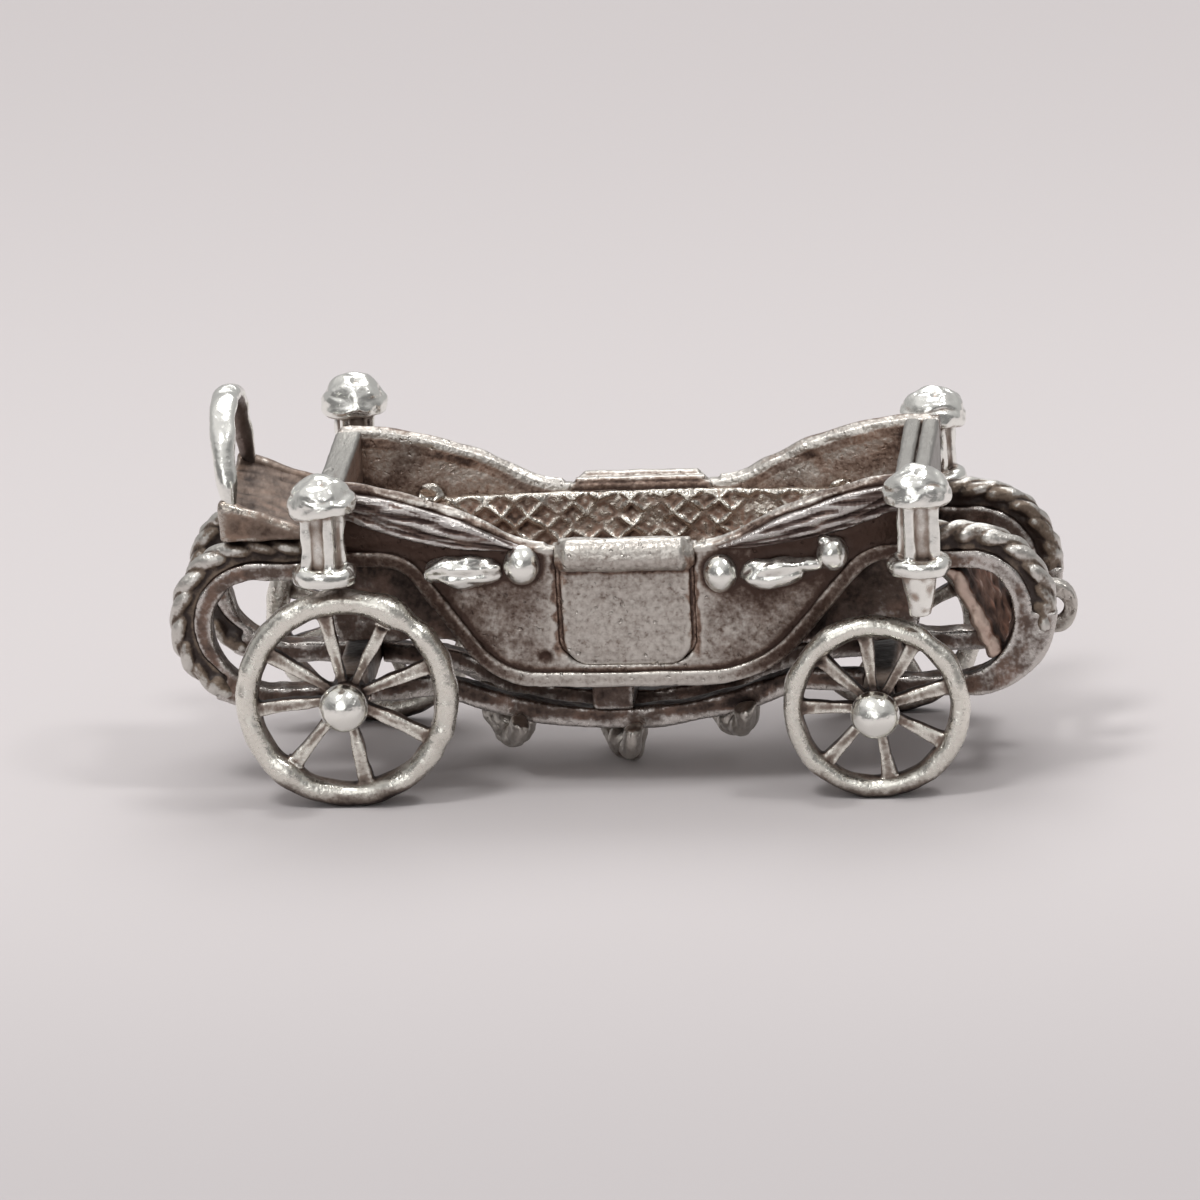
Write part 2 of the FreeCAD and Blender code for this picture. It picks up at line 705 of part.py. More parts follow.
def door_rail():
    """The round bar on top of the door, with bevelled ends."""
    body = new_body("door_rail")
    radius = size.door_rail_radius
    soft = size.rail_chamfer
    start = size.groove_width / 2 - size.door_rear
    finish = size.door_front - size.groove_width / 2
    sketch = body_sketch(body, PLAN)
    draw(sketch, [
        (0, start),
        (radius - soft, start),
        (radius, start + soft),
        (radius, finish - soft),
        (radius - soft, finish),
        (0, finish),
    ])
    add_revolution(body, sketch)
    middle = (size.door_front - size.door_rear) / 2
    rail_z = size.door_high - size.door_rail_drop
    along = FreeCAD.Rotation(FreeCAD.Vector(0, 0, 1), -90)
    place(body, y=-side_face(middle, rail_z) - size.door_rail_stand, z=rail_z, rotation=along)
    return body


def stud(name, x, z, radius, depth, face_y):
    """A round stud whose outer end is at face_y, reaching inwards by its depth."""
    body = new_body(name)
    section = body_sketch(body, SIDE)
    draw_circle(section, 0, 0, radius)
    add_pad(body, section, depth, "One side", reverse=True)
    return place(body, x, face_y, z)


def bead(name, x, z):
    """A bead of the hood irons, rooted in the side panel."""
    return stud(name, x, z, size.bead_radius, size.bead_proud + size.wall, -side_face(x, z) - size.bead_proud)


def leaf_bar(name, start, finish, bend, face, reach):
    """A leaf-shaped bar on the side's face, from one point to another."""
    corners = [start + (bend,), finish + (bend,)]
    return common(name, prism(f"{name}_block", SIDE, corners, reach), face)


def build_irons(outer, reach):
    """The hood irons cast on each side: two leaf bars and three beads."""
    face = tub_loft("iron_face", -size.iron_proud)
    rear_start = (-size.rear_iron_x, size.rear_iron_z)
    rear_finish = (size.rear_iron_length - size.rear_iron_x, size.rear_iron_z)
    front_start = (size.front_iron_x, size.front_iron_z)
    front_finish = (size.front_iron_x + size.front_iron_length, size.front_iron_z + size.front_iron_climb)
    irons = {
        "hood_iron_rear": [
            leaf_bar("rear_bar", rear_start, rear_finish, size.rear_iron_bend, face, reach),
            bead("rear_bead", -size.rear_bead_x, size.rear_bead_z),
        ],
        "hood_iron_front": [
            leaf_bar("front_bar", front_start, front_finish, size.front_iron_bend, face, reach),
            bead("front_bead", size.front_bead_x, size.front_bead_z),
            bead("end_bead", size.end_bead_x, size.end_bead_z),
        ],
    }
    for name, castings in irons.items():
        both_sides(cut(name, fuse(f"{name}_casting", castings), outer), name)


def moulding_outline():
    """The band between the belly's outline and a line inside it."""
    outer = belly_run(dim(0), -size.tub_rear, size.tub_front)
    inner = belly_run(size.moulding_width, -size.tub_rear, size.tub_front)
    return outer + backwards(inner)


def build_core(inner, reach):
    """End walls and floor, between the side panels."""
    low = END_LOW
    walls = {
        REAR: (-size.tub_rear, size.rear_wall - size.tub_rear),
        FRONT: (size.tub_front - size.front_wall, size.tub_front),
    }
    for end, (left, right) in walls.items():
        block = prism(
            f"{END_NAMES[end]}_wall_block",
            SIDE,
            [(left, low), (right, low), (right, size.rim_high), (left, size.rim_high)],
            reach * 2,
            symmetric=True,
        )
        wall = common(f"{END_NAMES[end]}_wall_form", block, inner)
        if end == FRONT:
            seam_x = size.tub_front - size.wall_seam_in
            seam = prism("wall_seam", SIDE, [
                (seam_x - size.wall_seam, size.rim_high - size.wall_seam_depth),
                (seam_x, size.rim_high - size.wall_seam_depth),
                (seam_x, size.rim_high),
                (seam_x - size.wall_seam, size.rim_high),
            ], reach * 2, symmetric=True)
            wall = cut("front_wall_seamed", wall, seam)
        keep(wall, f"{END_NAMES[end]}_wall")
    rear_x, front_x = walls[REAR][1], walls[FRONT][0]
    band = belly_run(dim(0), rear_x, front_x) + backwards(belly_run(size.floor_plate, rear_x, front_x))
    floor = prism("floor_block", SIDE, band, reach * 2, symmetric=True)
    keep(common("floor", floor, inner), "floor")


def build_boot(end):
    """The box under one end of the body, between the two springs."""
    label = f"boot_{END_NAMES[end]}"
    over, rake, inner_x = {
        REAR: (size.rear_boot_over, size.rear_boot_rake, -size.belly_rear),
        FRONT: (size.front_boot_over, size.front_boot_rake, size.belly_front),
    }[end]
    low = WHEEL_RADIUS[end] + size.bed_rise + over
    wall_x, corner = TUB_END[end], size.boot_corner
    block = new_body(f"{label}_block")
    sketch = body_sketch(block, SIDE)
    draw(sketch, [
        (inner_x, low),
        (wall_x - (rake + corner) * end, low),
        (wall_x - rake * end, low + corner, corner * end),
        (wall_x, END_LOW),
        (inner_x, END_LOW),
    ])
    add_pad(block, sketch, size.spring_gauge - size.spring_width - size.boot_gap * 2)
    gap, beyond_x = size.seat_gap, wall_x + size.boot_corner * end
    room = [(0, size.floor_low - gap)] + belly_side(end, -gap)
    room += [(beyond_x, END_LOW - gap), (beyond_x, size.rim_high), (0, size.rim_high)]
    above = prism(f"{label}_room", SIDE, room, size.spring_gauge, symmetric=True)
    keep(cut(label, block, above), label)


def cavity_outline(inset, rear_x, front_x, top):
    """The inside of the body, clear of the floor by inset, up to a level top."""
    run = belly_run(inset, rear_x, front_x)
    return run + [(front_x, top), (rear_x, top)]


def build_seats():
    """Two benches that face each other and follow the belly's slope."""
    reach = size.half_width * 2
    rear_x = size.rear_wall - size.tub_rear
    front_x = size.tub_front - size.front_wall
    inset = size.floor_plate + size.seat_gap
    outline = cavity_outline(inset, rear_x, front_x, size.rim_high)
    cavity = prism("seat_space", SIDE, outline, reach * 2, symmetric=True)
    shelf = tub_loft("seat_width", size.wall + size.lining_thickness + size.seat_gap, longer=2)
    space = common("seat_room", cavity, shelf)
    backs = {REAR: -size.rear_seat_back, FRONT: size.front_seat_back}
    for end in (REAR, FRONT):
        back = backs[end]
        face = back - size.seat_depth * end
        deep = back + (size.back_lean + size.back_thickness) * end
        block = prism(
            f"{END_NAMES[end]}_bench",
            SIDE,
            [
                (face, size.floor_low),
                (face, size.bench_high),
                (back, size.bench_high),
                (back + size.back_lean * end, size.back_high),
                (deep, size.back_high),
                (deep, size.floor_low),
            ],
            reach * 2,
            symmetric=True,
        )
        keep(common(f"{END_NAMES[end]}_seat", block, space), f"{END_NAMES[end]}_seat")


def build_linings(inner):
    """The padded linings on the inside of both side panels, with the bosses beside them."""
    reach = size.half_width * 2
    inset = size.floor_plate + size.seat_gap
    block = prism(
        "lining_block",
        SIDE,
        cavity_outline(inset, -size.lining_rear, size.lining_front, size.lining_high),
        reach,
    )
    pad = cut(
        "lining_pad",
        common("lining_form", block, inner),
        tub_loft("lining_face", size.wall + size.lining_thickness, longer=2),
    )
    rear_boss = (-size.lining_rear - size.boss_out, size.lining_high + size.rear_boss_rise)
    front_boss = (size.lining_front + size.boss_out, size.lining_high - size.front_boss_drop)
    bosses = []
    for x, boss_z in (rear_boss, front_boss):
        boss_y = size.wall + size.boss_proud - side_face(x, boss_z)
        boss = stud("boss", x, boss_z, size.boss_radius, size.boss_proud + size.wall, boss_y)
        bosses.append(place(boss, x, boss_y, boss_z, HALF_TURN))
    bosses = common("bosses", fuse("boss_pair", bosses), inner)
    both_sides(fuse("lining", [pad, bosses]), "lining")


def lantern_section():
    """A square with its corner posts standing in front of its panels, drawn anticlockwise."""
    out = size.lamp_half
    panel = out - size.lamp_recess
    post = out - size.lamp_post
    corners = []
    for x_side, y_side in ((1, 1), (-1, 1), (-1, -1), (1, -1)):
        steps = [(panel, post), (out, post), (out, out), (post, out), (post, panel)]
        if x_side != y_side:
            steps.reverse()
        corners += [(x * x_side, y * y_side) for x, y in steps]
    return corners


def rounded(x_low, x_high, y_low, y_high, soft):
    """A rectangle with round corners, drawn anticlockwise."""
    x_low, x_high, y_low, y_high = dim(x_low), dim(x_high), dim(y_low), dim(y_high)
    return [
        (x_high - soft, y_low),
        (x_high, y_low + soft, soft),
        (x_high, y_high - soft),
        (x_high - soft, y_high, soft),
        (x_low + soft, y_high),
        (x_low, y_high - soft, soft),
        (x_low, y_low + soft),
        (x_low + soft, y_low, soft),
    ]


def rim_section(inside, outside, half_width, bevel):
    """A rim's section with bevelled outer corners, drawn anticlockwise."""
    return [
        (inside, -half_width),
        (outside - bevel, -half_width),
        (outside, bevel - half_width),
        (outside, half_width - bevel),
        (outside - bevel, half_width),
        (inside, half_width),
    ]


def build_wheel(end, side):
    """Hub barrel, tapered flat spokes and bevelled rim, on the axle's line."""
    label = f"wheel_{END_NAMES[end]}_{SIDE_NAMES[side]}"
    body = new_body(label)
    bore = size.axle_radius + size.running_gap
    rim_inside = WHEEL_RADIUS[end] - RIM_DEPTH[end]
    half_hub = HUB_HALF[end]
    hub = body_sketch(body, PLAN)
    draw(hub, [
        (bore, -half_hub),
        (size.hub_radius, -half_hub),
        (size.hub_radius, half_hub),
        (bore, half_hub),
    ])
    add_revolution(body, hub)
    spoke = body_sketch(body, SIDE)
    root_r = (bore + size.hub_radius) / 2
    foot_r = rim_inside + size.rim_bevel
    draw(spoke, [
        (size.spoke_root / 2, root_r),
        (size.spoke_foot / 2, foot_r),
        (-size.spoke_foot / 2, foot_r),
        (-size.spoke_root / 2, root_r),
    ])
    first = add_pad(body, spoke, size.spoke_depth)
    add_circle_of(body, first, spoke, size.spoke_count)
    rim = body_sketch(body, PLAN)
    draw(rim, rim_section(rim_inside, WHEEL_RADIUS[end], RIM_WIDTH[end] / 2, size.rim_bevel))
    body.Tip = add_revolution(body, rim)
    place(body, AXLE_X[end], HALF_SPAN * side, WHEEL_RADIUS[end])
    keep(body, label)


def build_axle(end):
    """A square bed with the wheels' wire and its balled ends, in one casting."""
    label = f"{END_NAMES[end]}_axle"
    body = new_body(label)
    bed_half = HALF_SPAN - HUB_HALF[end] - size.side_play
    height = WHEEL_RADIUS[end]
    bed = body_sketch(body, SIDE)
    half_bed = size.bed_length / 2
    low, high, edge = size.rail_end_low - height, size.bed_rise, size.bed_edge
    draw(bed, [
        (half_bed - edge, low),
        (half_bed, low + edge),
        (half_bed, high - edge),
        (half_bed - edge, high),
        (edge - half_bed, high),
        (-half_bed, high - edge),
        (-half_bed, low + edge),
        (edge - half_bed, low),
    ])
    add_pad(body, bed, bed_half * 2)
    collar = HALF_SPAN + HUB_HALF[end] + size.side_play
    ball_middle = collar + size.ball_collar
    tip = ball_middle + size.ball_radius
    wire = body_sketch(body, PLAN)
    draw(wire, [
        (0, -tip),
        (size.ball_radius, -ball_middle, size.ball_radius),
        (size.hub_radius, -collar),
        (size.axle_radius, -collar),
        (size.axle_radius, collar),
        (size.hub_radius, collar),
        (size.ball_radius, ball_middle),
        (0, tip, size.ball_radius),
    ])
    add_revolution(body, wire)
    place(body, x=AXLE_X[end], z=height)
    keep(body, label)


def build_lamp(end, side, outer):
    """A lantern: flange, square shaft with corner posts, domed cap, and an arm to the body."""
    label = f"lamp_{END_NAMES[end]}_{SIDE_NAMES[side]}"
    body = new_body(f"{label}_casting")
    cap_low = size.lamp_height - size.lamp_cap_rise
    brim = size.lamp_brim
    dome = size.lamp_cap_rise - brim
    dome_radius = (size.lamp_cap * size.lamp_cap + dome * dome) / (dome * 2)
    turned = body_sketch(body, SIDE)
    tail = [(0, -size.lamp_tail), (size.lamp_tail_tip, -size.lamp_tail), (size.lamp_tail_root, 0)]
    draw(turned, (tail if end == FRONT else [(0, 0)]) + [
        (size.lamp_flange, 0),
        (size.lamp_flange, size.lamp_flange_rise),
        (0, size.lamp_flange_rise),
    ])
    add_revolution(body, turned)
    cap = body_sketch(body, SIDE)
    draw(cap, [
        (0, cap_low),
        (size.lamp_cap, cap_low),
        (size.lamp_cap, cap_low + brim),
        (0, size.lamp_height, dome_radius),
    ])
    shaft = body_sketch(body, PLAN, offset=size.lamp_flange_rise)
    bind(shaft, "AttachmentOffset.Rotation.Angle", size.lamp_turn * end * -side)
    draw(shaft, lantern_section())
    add_pad(body, shaft, cap_low - size.lamp_flange_rise, "One side")
    add_revolution(body, cap)
    arm = body_sketch(body, SIDE)
    draw_circle(arm, 0, size.arm_high, size.arm_radius)
    lamp_y = size.half_width + {REAR: size.lamp_rear_out, FRONT: size.lamp_front_out}[end]
    lamp_x = TUB_END[end] - {REAR: size.lamp_rear_in, FRONT: size.lamp_front_in}[end] * end
    drop = {REAR: size.lamp_rear_drop, FRONT: size.lamp_front_drop}[end]
    add_pad(body, arm, lamp_y - half_width_at(lamp_x) + size.wall, "One side", reverse=True)
    place(body, lamp_x, lamp_y * side, size.rim_high - drop, HALF_TURN if side == FAR else None)
    keep(cut(label, body, outer), label)


def spring_outline(end):
    """A C-shaped leaf whose lower part swells where its strand ends."""
    centre_x, centre_z = SPRING_X[end], size.spring_high
    inner, outer, reach = size.spring_inner, SPRING_OUTER, SPRING_REACH
    turn = {REAR: size.rear_strand_end, FRONT: size.front_strand_end}[end]
    level, lean = cosine(turn), sine(turn)
    low = centre_z - reach
    top_tail = TUB_END[end] - size.spring_lap * end
    low_tail = AXLE_X[end] + (size.bed_length / 2 + size.seat_gap) * end
    rail_top = low + size.rail_rise
    throat = centre_x - size.spring_throat * end

    def at(radius, along, up):
        return (centre_x + radius * along * end, centre_z + radius * up)

    return [
        (top_tail, centre_z + inner),
        (top_tail, centre_z + outer),
        (centre_x, centre_z + outer),
        at(outer, level, -lean) + (outer * -end,),
        at(reach, level, -lean),
        (centre_x, low, reach * -end),
        (low_tail, low),
        (low_tail, rail_top),
        (throat, rail_top),
        (centre_x + inner * end, centre_z, size.spring_throat_bend * end),
        (centre_x, centre_z + inner, inner * end),
    ]


def build_spring(end, side):
    """One C-spring leaf."""
    label = f"spring_{END_NAMES[end]}_{SIDE_NAMES[side]}"
    body = new_body(label)
    sketch = body_sketch(body, SIDE)
    draw(sketch, spring_outline(end))
    add_pad(body, sketch, size.spring_width)
    place(body, y=size.spring_gauge / 2 * side)
    return keep(body, label)


def strand_point(end, along, straight):
    """A point of the strand's middle line and the direction away from the spring there."""
    middle = (SPRING_REACH - size.strand_radius + size.seat_gap / 2).value
    if along <= straight:
        return FreeCAD.Vector((along - straight) * end, 0, middle), FreeCAD.Vector(0, 0, 1)
    turn = (along - straight) / middle
    away = FreeCAD.Vector(math.sin(turn) * end, 0, math.cos(turn))
    return away * middle, away


def strand_section(end, along, straight):
    """The two-lobed section of the strand, turned by its twist at that place."""
    point, away = strand_point(end, along, straight)
    across_it = FreeCAD.Vector(0, 1, 0)
    twist = 2 * math.pi * along / size.strand_lay.value
    long_way = away * math.cos(twist) + across_it * math.sin(twist)
    short_way = across_it * math.cos(twist) - away * math.sin(twist)
    radius = (size.strand_radius - size.seat_gap / 2).value
    waist = size.strand_waist.value
    corners = [
        point + (long_way * u + short_way * v * waist) * radius
        for u, v in ((1, 0), (LOBE, 1), (-LOBE, 1), (-1, 0), (-LOBE, -1), (LOBE, -1))
    ]
    return corners


def flat_face(*corners):
    return Part.Face(Part.makePolygon([*corners, corners[0]]))


def twisted_skin(sections):
    """Triangles that join each section to the next, with an end face on the first and last."""
    faces = [flat_face(*sections[0]), flat_face(*sections[-1])]
    for near, far in zip(sections, sections[1:]):
        for i in range(len(near)):
            after = (i + 1) % len(near)
            faces.append(flat_face(near[i], near[after], far[after]))
            faces.append(flat_face(near[i], far[after], far[i]))
    return faces


def build_strand(end, side):
    """The twisted strand on a spring's back, from the body's wall round its curve."""
    label = f"strand_{END_NAMES[end]}_{SIDE_NAMES[side]}"
    straight = ((SPRING_X[end] - TUB_END[end]) * end - size.seat_gap).value
    sweep = {REAR: size.rear_strand_end, FRONT: size.front_strand_end}[end] + 90
    middle = SPRING_REACH - size.strand_radius + size.seat_gap / 2
    length = straight + middle.value * math.radians(sweep.value)
    count = round(length / size.strand_lay.value * STRAND_STEPS)
    sections = [strand_section(end, length * i / count, straight) for i in range(count + 1)]
    strand = doc.addObject("Part::Feature", label)
    strand.Shape = Part.makeSolid(Part.makeShell(twisted_skin(sections)))
    place(strand, SPRING_X[end], size.spring_gauge / 2 * side, size.spring_high)
    keep(strand, label)


def build_rails():
    """Two perch rails that dip under the body and spread towards the axle beds."""
    bow, reach, shoulder = size.rail_bow, size.rail_reach, size.rail_shoulder
    level = root(bow * bow - reach * reach) / bow
    lean = reach / bow
    bow_end_z = size.rail_end_low - shoulder + shoulder * level
    centre_z = bow_end_z + bow * level
    rear_x = size.bed_length / 2 + size.seat_gap - size.rear_axle_back
    front_x = size.front_axle_ahead - size.bed_length / 2 - size.seat_gap
    rise = size.rail_rise
    middle = size.rail_middle

    def edge(lift):
        arc, swell = bow - lift, shoulder + lift
        foot = reach + shoulder * lean
        return [
            (rear_x, size.rail_end_low + lift),
            (middle - foot, size.rail_end_low + lift),
            (middle - arc * lean, centre_z - arc * level, -swell),
            (middle + arc * lean, centre_z - arc * level, arc),
            (middle + foot, size.rail_end_low + lift, -swell),
            (front_x, size.rail_end_low + lift),
        ]

    width = size.spring_gauge + size.spring_width * 2
    band = prism("rail_band", SIDE, edge(dim(0)) + backwards(edge(rise)), width, symmetric=True)
    plan = rail_plan(rear_x, front_x)
    near = common("rail", band, prism("rail_plan", PLAN, plan, size.rim_high))
    both_sides(near, "perch_rail")
    above = edge(dim(0)) + [(front_x, size.rim_high), (rear_x, size.rim_high)]
    below = edge(rise) + [(front_x, -size.rail_rise), (rear_x, -size.rail_rise)]
    return (
        prism("above_rails", SIDE, above, width, symmetric=True),
        prism("below_rails", SIDE, below, width, symmetric=True),
    )


def rail_y(x, half=0):
    """Distance of a rail's middle line, or an edge of it, from the centre plane."""
    plan = size.rail_plan_bow
    return size.rail_gauge / 2 + plan - root((plan - half) * (plan - half) - x * x)


def rail_plan(rear_x, front_x):
    """The near rail seen from above."""
    half = size.rail_width / 2
    inner = [(rear_x, -rail_y(rear_x, -half)), (front_x, -rail_y(front_x, -half))]
    outer = [(front_x, -rail_y(front_x, half)), (rear_x, -rail_y(rear_x, half))]
    bow = size.rail_plan_bow
    return [
        inner[0],
        inner[1] + (-(bow + half),),
        outer[0],
        outer[1] + (bow - half,),
    ]


def build_post(below_rails):
    """The centre post between the rails and the body."""
    half = size.post_length / 2
    wide = size.rail_gauge / 2 + size.rail_width / 2
    body = new_body("post_casting")
    sketch = body_sketch(body, PLAN, offset=size.floor_low)
    draw(sketch, rounded(size.post_x - half, size.post_x + half, -wide, wide, size.bed_edge))
    add_pad(body, sketch, size.floor_low, "One side", reverse=True)
    keep(cut("perch_post", body, below_rails), "perch_post")


def octagon(x, y, radius):
    """A round wire's section, drawn anticlockwise."""
    side = radius * (math.sqrt(2) - 1)
    return [
        (x + radius, y - side),
        (x + radius, y + side),
        (x + side, y + radius),
        (x - side, y + radius),
        (x - radius, y + side),
        (x - radius, y - side),
        (x - side, y - radius),
        (x + side, y - radius),
    ]


def build_loop(name, x, bottom, above_rails):
    """A wire loop that hangs between the two rails, turned askew."""
    span = rail_y(x) / cosine(size.loop_turn)
    body = new_body(f"{name}_wire")
    section = body_sketch(body, PLAN)
    draw(section, octagon(span, dim(0), size.loop_wire))
    add_revolution(body, section, 180)
    skew = FreeCAD.Rotation(FreeCAD.Vector(0, 0, 1), 90 + size.loop_turn.value)
    place(body, x, 0, bottom + size.loop_wire + span, skew)
    keep(cut(name, body, above_rails), name)


def footman_wedge(name, lift, half_width):
    """The wedge of the footman's seat up to a lift above its slope."""
    top = size.spring_high + SPRING_REACH + size.seat_gap
    back = SPRING_X[REAR] - size.footman_out
    fore = -size.tub_rear - size.footman_gap
    return prism(
        name,
        SIDE,
        [(back, top), (fore, top), (fore, top + size.footman_lip + lift), (back, top + size.footman_rise + lift)],
        half_width * 2,
        symmetric=True,
    )


def build_seat_behind():
    """The footman's seat on the rear springs, with its hoop."""
    top = size.spring_high + SPRING_REACH + size.seat_gap
    block = footman_wedge("footman_block", dim(0), size.hoop_radius)
    plate = footman_wedge("footman_plate", -size.footman_dip, size.hoop_radius - size.footman_rail)
    dip = cut("footman_dip", footman_wedge("footman_well", dim(0), size.hoop_radius - size.footman_rail), plate)
    hoop_middle = size.hoop_top - size.hoop_radius
    ring = prism("hoop_ring", CROSS, [
        (-size.hoop_radius, top),
        (size.hoop_band - size.hoop_radius, top),
        (size.hoop_band - size.hoop_radius, hoop_middle),
        (0, hoop_middle + size.hoop_radius - size.hoop_band, size.hoop_band - size.hoop_radius),
        (size.hoop_radius - size.hoop_band, hoop_middle, size.hoop_band - size.hoop_radius),
        (size.hoop_radius - size.hoop_band, top),
        (size.hoop_radius, top),
        (size.hoop_radius, hoop_middle),
        (0, size.hoop_top, size.hoop_radius),
        (-size.hoop_radius, hoop_middle, size.hoop_radius),
    ], size.tub_rear * 2, reverse=True)
    root_half, top_half = size.hoop_root / 2, size.hoop_width / 2
    root_x = SPRING_X[REAR] - size.hoop_out
    top_x = root_x - size.hoop_lean
    strip = prism("hoop_strip", SIDE, [
        (root_x - root_half, top),
        (root_x + root_half, top),
        (top_x + top_half, size.hoop_top),
        (top_x - top_half, size.hoop_top),
    ], size.hoop_radius * 2, symmetric=True)
    hoop = cut("rear_hoop", common("hoop_form", ring, strip), block)
    keep(cut("footman_seat", block, dip), "footman_seat")
    keep(hoop, "rear_hoop")


def build_front_fittings(springs):
    """Footboard plate, splinter bar and towing eye, between the front springs."""
    board = new_body("board_casting")
    sketch = body_sketch(board, SIDE)
    top_x, top_z = size.tub_front + size.board_out, size.spring_high + size.board_high
    low_x, low_z = SPRING_X[FRONT] + size.board_kick, size.spring_high - size.board_low
    thick = size.board_thickness
    draw(sketch, [(top_x, top_z), (low_x, low_z), (low_x + thick, low_z), (top_x + thick, top_z)])
    add_pad(board, sketch, size.spring_gauge + size.board_lap)
    trimmed = cut("board_cut", cut("board_trim", board, springs[0]), springs[1])
    keep(trimmed, "footboard")
    bar = new_body("splinter_bar")
    sketch = body_sketch(bar, SIDE)
    draw_circle(sketch, BAR_X, BAR_Z, size.bar_radius)
    add_pad(bar, sketch, size.spring_gauge - size.spring_width - size.seat_gap * 2)
    keep(bar, "splinter_bar")
    eye = new_body("eye_casting")
    eye_x, eye_z = BAR_X + size.eye_out, BAR_Z + size.eye_rise
    sketch = body_sketch(eye, SIDE)
    draw_circle(sketch, eye_x, eye_z, size.eye_radius)
    add_pad(eye, sketch, size.eye_thickness)
    shank = body_sketch(eye, SIDE)
    half = size.bar_radius
    draw(shank, [
        (BAR_X - half, BAR_Z),
        (BAR_X + half, BAR_Z),
        (eye_x, eye_z - size.eye_bore),
        (eye_x - size.eye_radius + half, eye_z),
    ])
    add_pad(eye, shank, size.eye_thickness)
    hole = body_sketch(eye, SIDE)
    draw_circle(hole, eye_x, eye_z, size.eye_bore)
    add_pocket(eye, hole, size.eye_thickness * 2)
    keep(cut("towing_eye", eye, bar), "towing_eye")


def export():
    """Check every object and write each piece to its own file."""
    doc.recompute()
    bad = [thing.Label for thing in doc.Objects if {"Invalid", "Error"} & set(thing.State)]
    if bad:
        raise RuntimeError(f"objects failed: {bad}")
    os.makedirs("parts", exist_ok=True)
    for node in nodes:
        shape = node.Shape
        if shape.isNull() or not shape.isValid() or not shape.Solids:
            raise RuntimeError(f"{node.Label} has no sound shape")
        shape.exportStep(f"parts/{node.Label}.step")
        print(f"{node.Label}: {len(shape.Solids)} solid(s), {shape.Volume:.3f} mm3")


def main():
    outer, inner = build_tub()
    build_seats()
    build_linings(inner)
    above_rails, below_rails = build_rails()
    build_post(below_rails)
    build_loop("step_loop_rear", -size.loop_rear_x, size.loop_rear_low, above_rails)
    build_loop("step_loop_middle", -size.loop_middle_x, size.loop_middle_low, above_rails)
    build_loop("step_loop_front", size.loop_front_x, size.loop_front_low, above_rails)
    front_springs = []
    for end in (REAR, FRONT):
        build_boot(end)
        build_axle(end)
        for side in (NEAR, FAR):
            build_wheel(end, side)
            build_lamp(end, side, outer)
            build_strand(end, side)
            spring = build_spring(end, side)
            if end == FRONT:
                front_springs.append(spring)
    build_seat_behind()
    build_front_fittings(front_springs)
    export()


main()
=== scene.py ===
import json
import logging
import math
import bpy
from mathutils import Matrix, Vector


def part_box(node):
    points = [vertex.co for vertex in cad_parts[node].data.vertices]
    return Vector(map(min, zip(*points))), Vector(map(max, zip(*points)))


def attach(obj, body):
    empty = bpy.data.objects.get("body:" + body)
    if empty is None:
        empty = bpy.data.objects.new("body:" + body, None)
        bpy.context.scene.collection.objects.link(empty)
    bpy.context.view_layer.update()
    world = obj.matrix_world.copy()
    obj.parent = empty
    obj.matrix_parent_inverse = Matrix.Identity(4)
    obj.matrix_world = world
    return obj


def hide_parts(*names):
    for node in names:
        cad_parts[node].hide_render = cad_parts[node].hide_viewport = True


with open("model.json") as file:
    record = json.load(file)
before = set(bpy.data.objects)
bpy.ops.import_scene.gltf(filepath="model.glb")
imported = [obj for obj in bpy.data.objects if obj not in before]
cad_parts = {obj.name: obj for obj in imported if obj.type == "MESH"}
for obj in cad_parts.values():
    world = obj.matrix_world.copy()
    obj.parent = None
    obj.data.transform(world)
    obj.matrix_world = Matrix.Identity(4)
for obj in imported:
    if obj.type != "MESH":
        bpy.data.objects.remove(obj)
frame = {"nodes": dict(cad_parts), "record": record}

import zlib
from collections.abc import Callable, Iterable
from dataclasses import dataclass, field
from enum import Enum

import bmesh
import bpy
import numpy as np
from mathutils import Matrix, Vector
from mathutils.bvhtree import BVHTree

log = logging.getLogger("carriage")
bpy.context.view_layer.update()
# Lengths are in millimetres, and MM turns them into metres.
MM = 0.001
MERGE = 1e-4
TUBE_SIDES = 10
WAVES = 12
SOIL_REACH = 0.32
FAR_OFF = 20.0

Array = np.ndarray
Socket = bpy.types.NodeSocket
Pair = tuple[float, float]
Triple = tuple[float, float, float]
Profile = list[Pair]
# A shaper takes a piece's points and normals, in millimetres, and gives a number for each point.
Shaper = Callable[[Array, Array], Array]


class Sense(Enum):
    """One of two opposite senses along an axis."""

    @property
    def label(self) -> str:
        """Its name in the nodes' names."""
        return self.name.lower()


class End(Sense):
    """The two ends of the carriage and their sense along X."""

    REAR = -1
    FRONT = 1


class Side(Sense):
    """The two sides of the carriage and their sense along Y."""

    NEAR = -1
    FAR = 1


CORNERS = tuple((end, side) for end in End for side in Side)


@dataclass(frozen=True)
class Box:
    """A node's box in millimetres."""

    low: Array
    high: Array

    @classmethod
    def of(cls, node: str) -> "Box":
        """Read a CAD node's box.

        Args:
            node: The node's name.

        Returns:
            Its box at rest.
        """
        low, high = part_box(node)
        return cls(np.array(low) / MM, np.array(high) / MM)

    @property
    def middle(self) -> Array:
        """The box's centre."""
        return (self.low + self.high) / 2


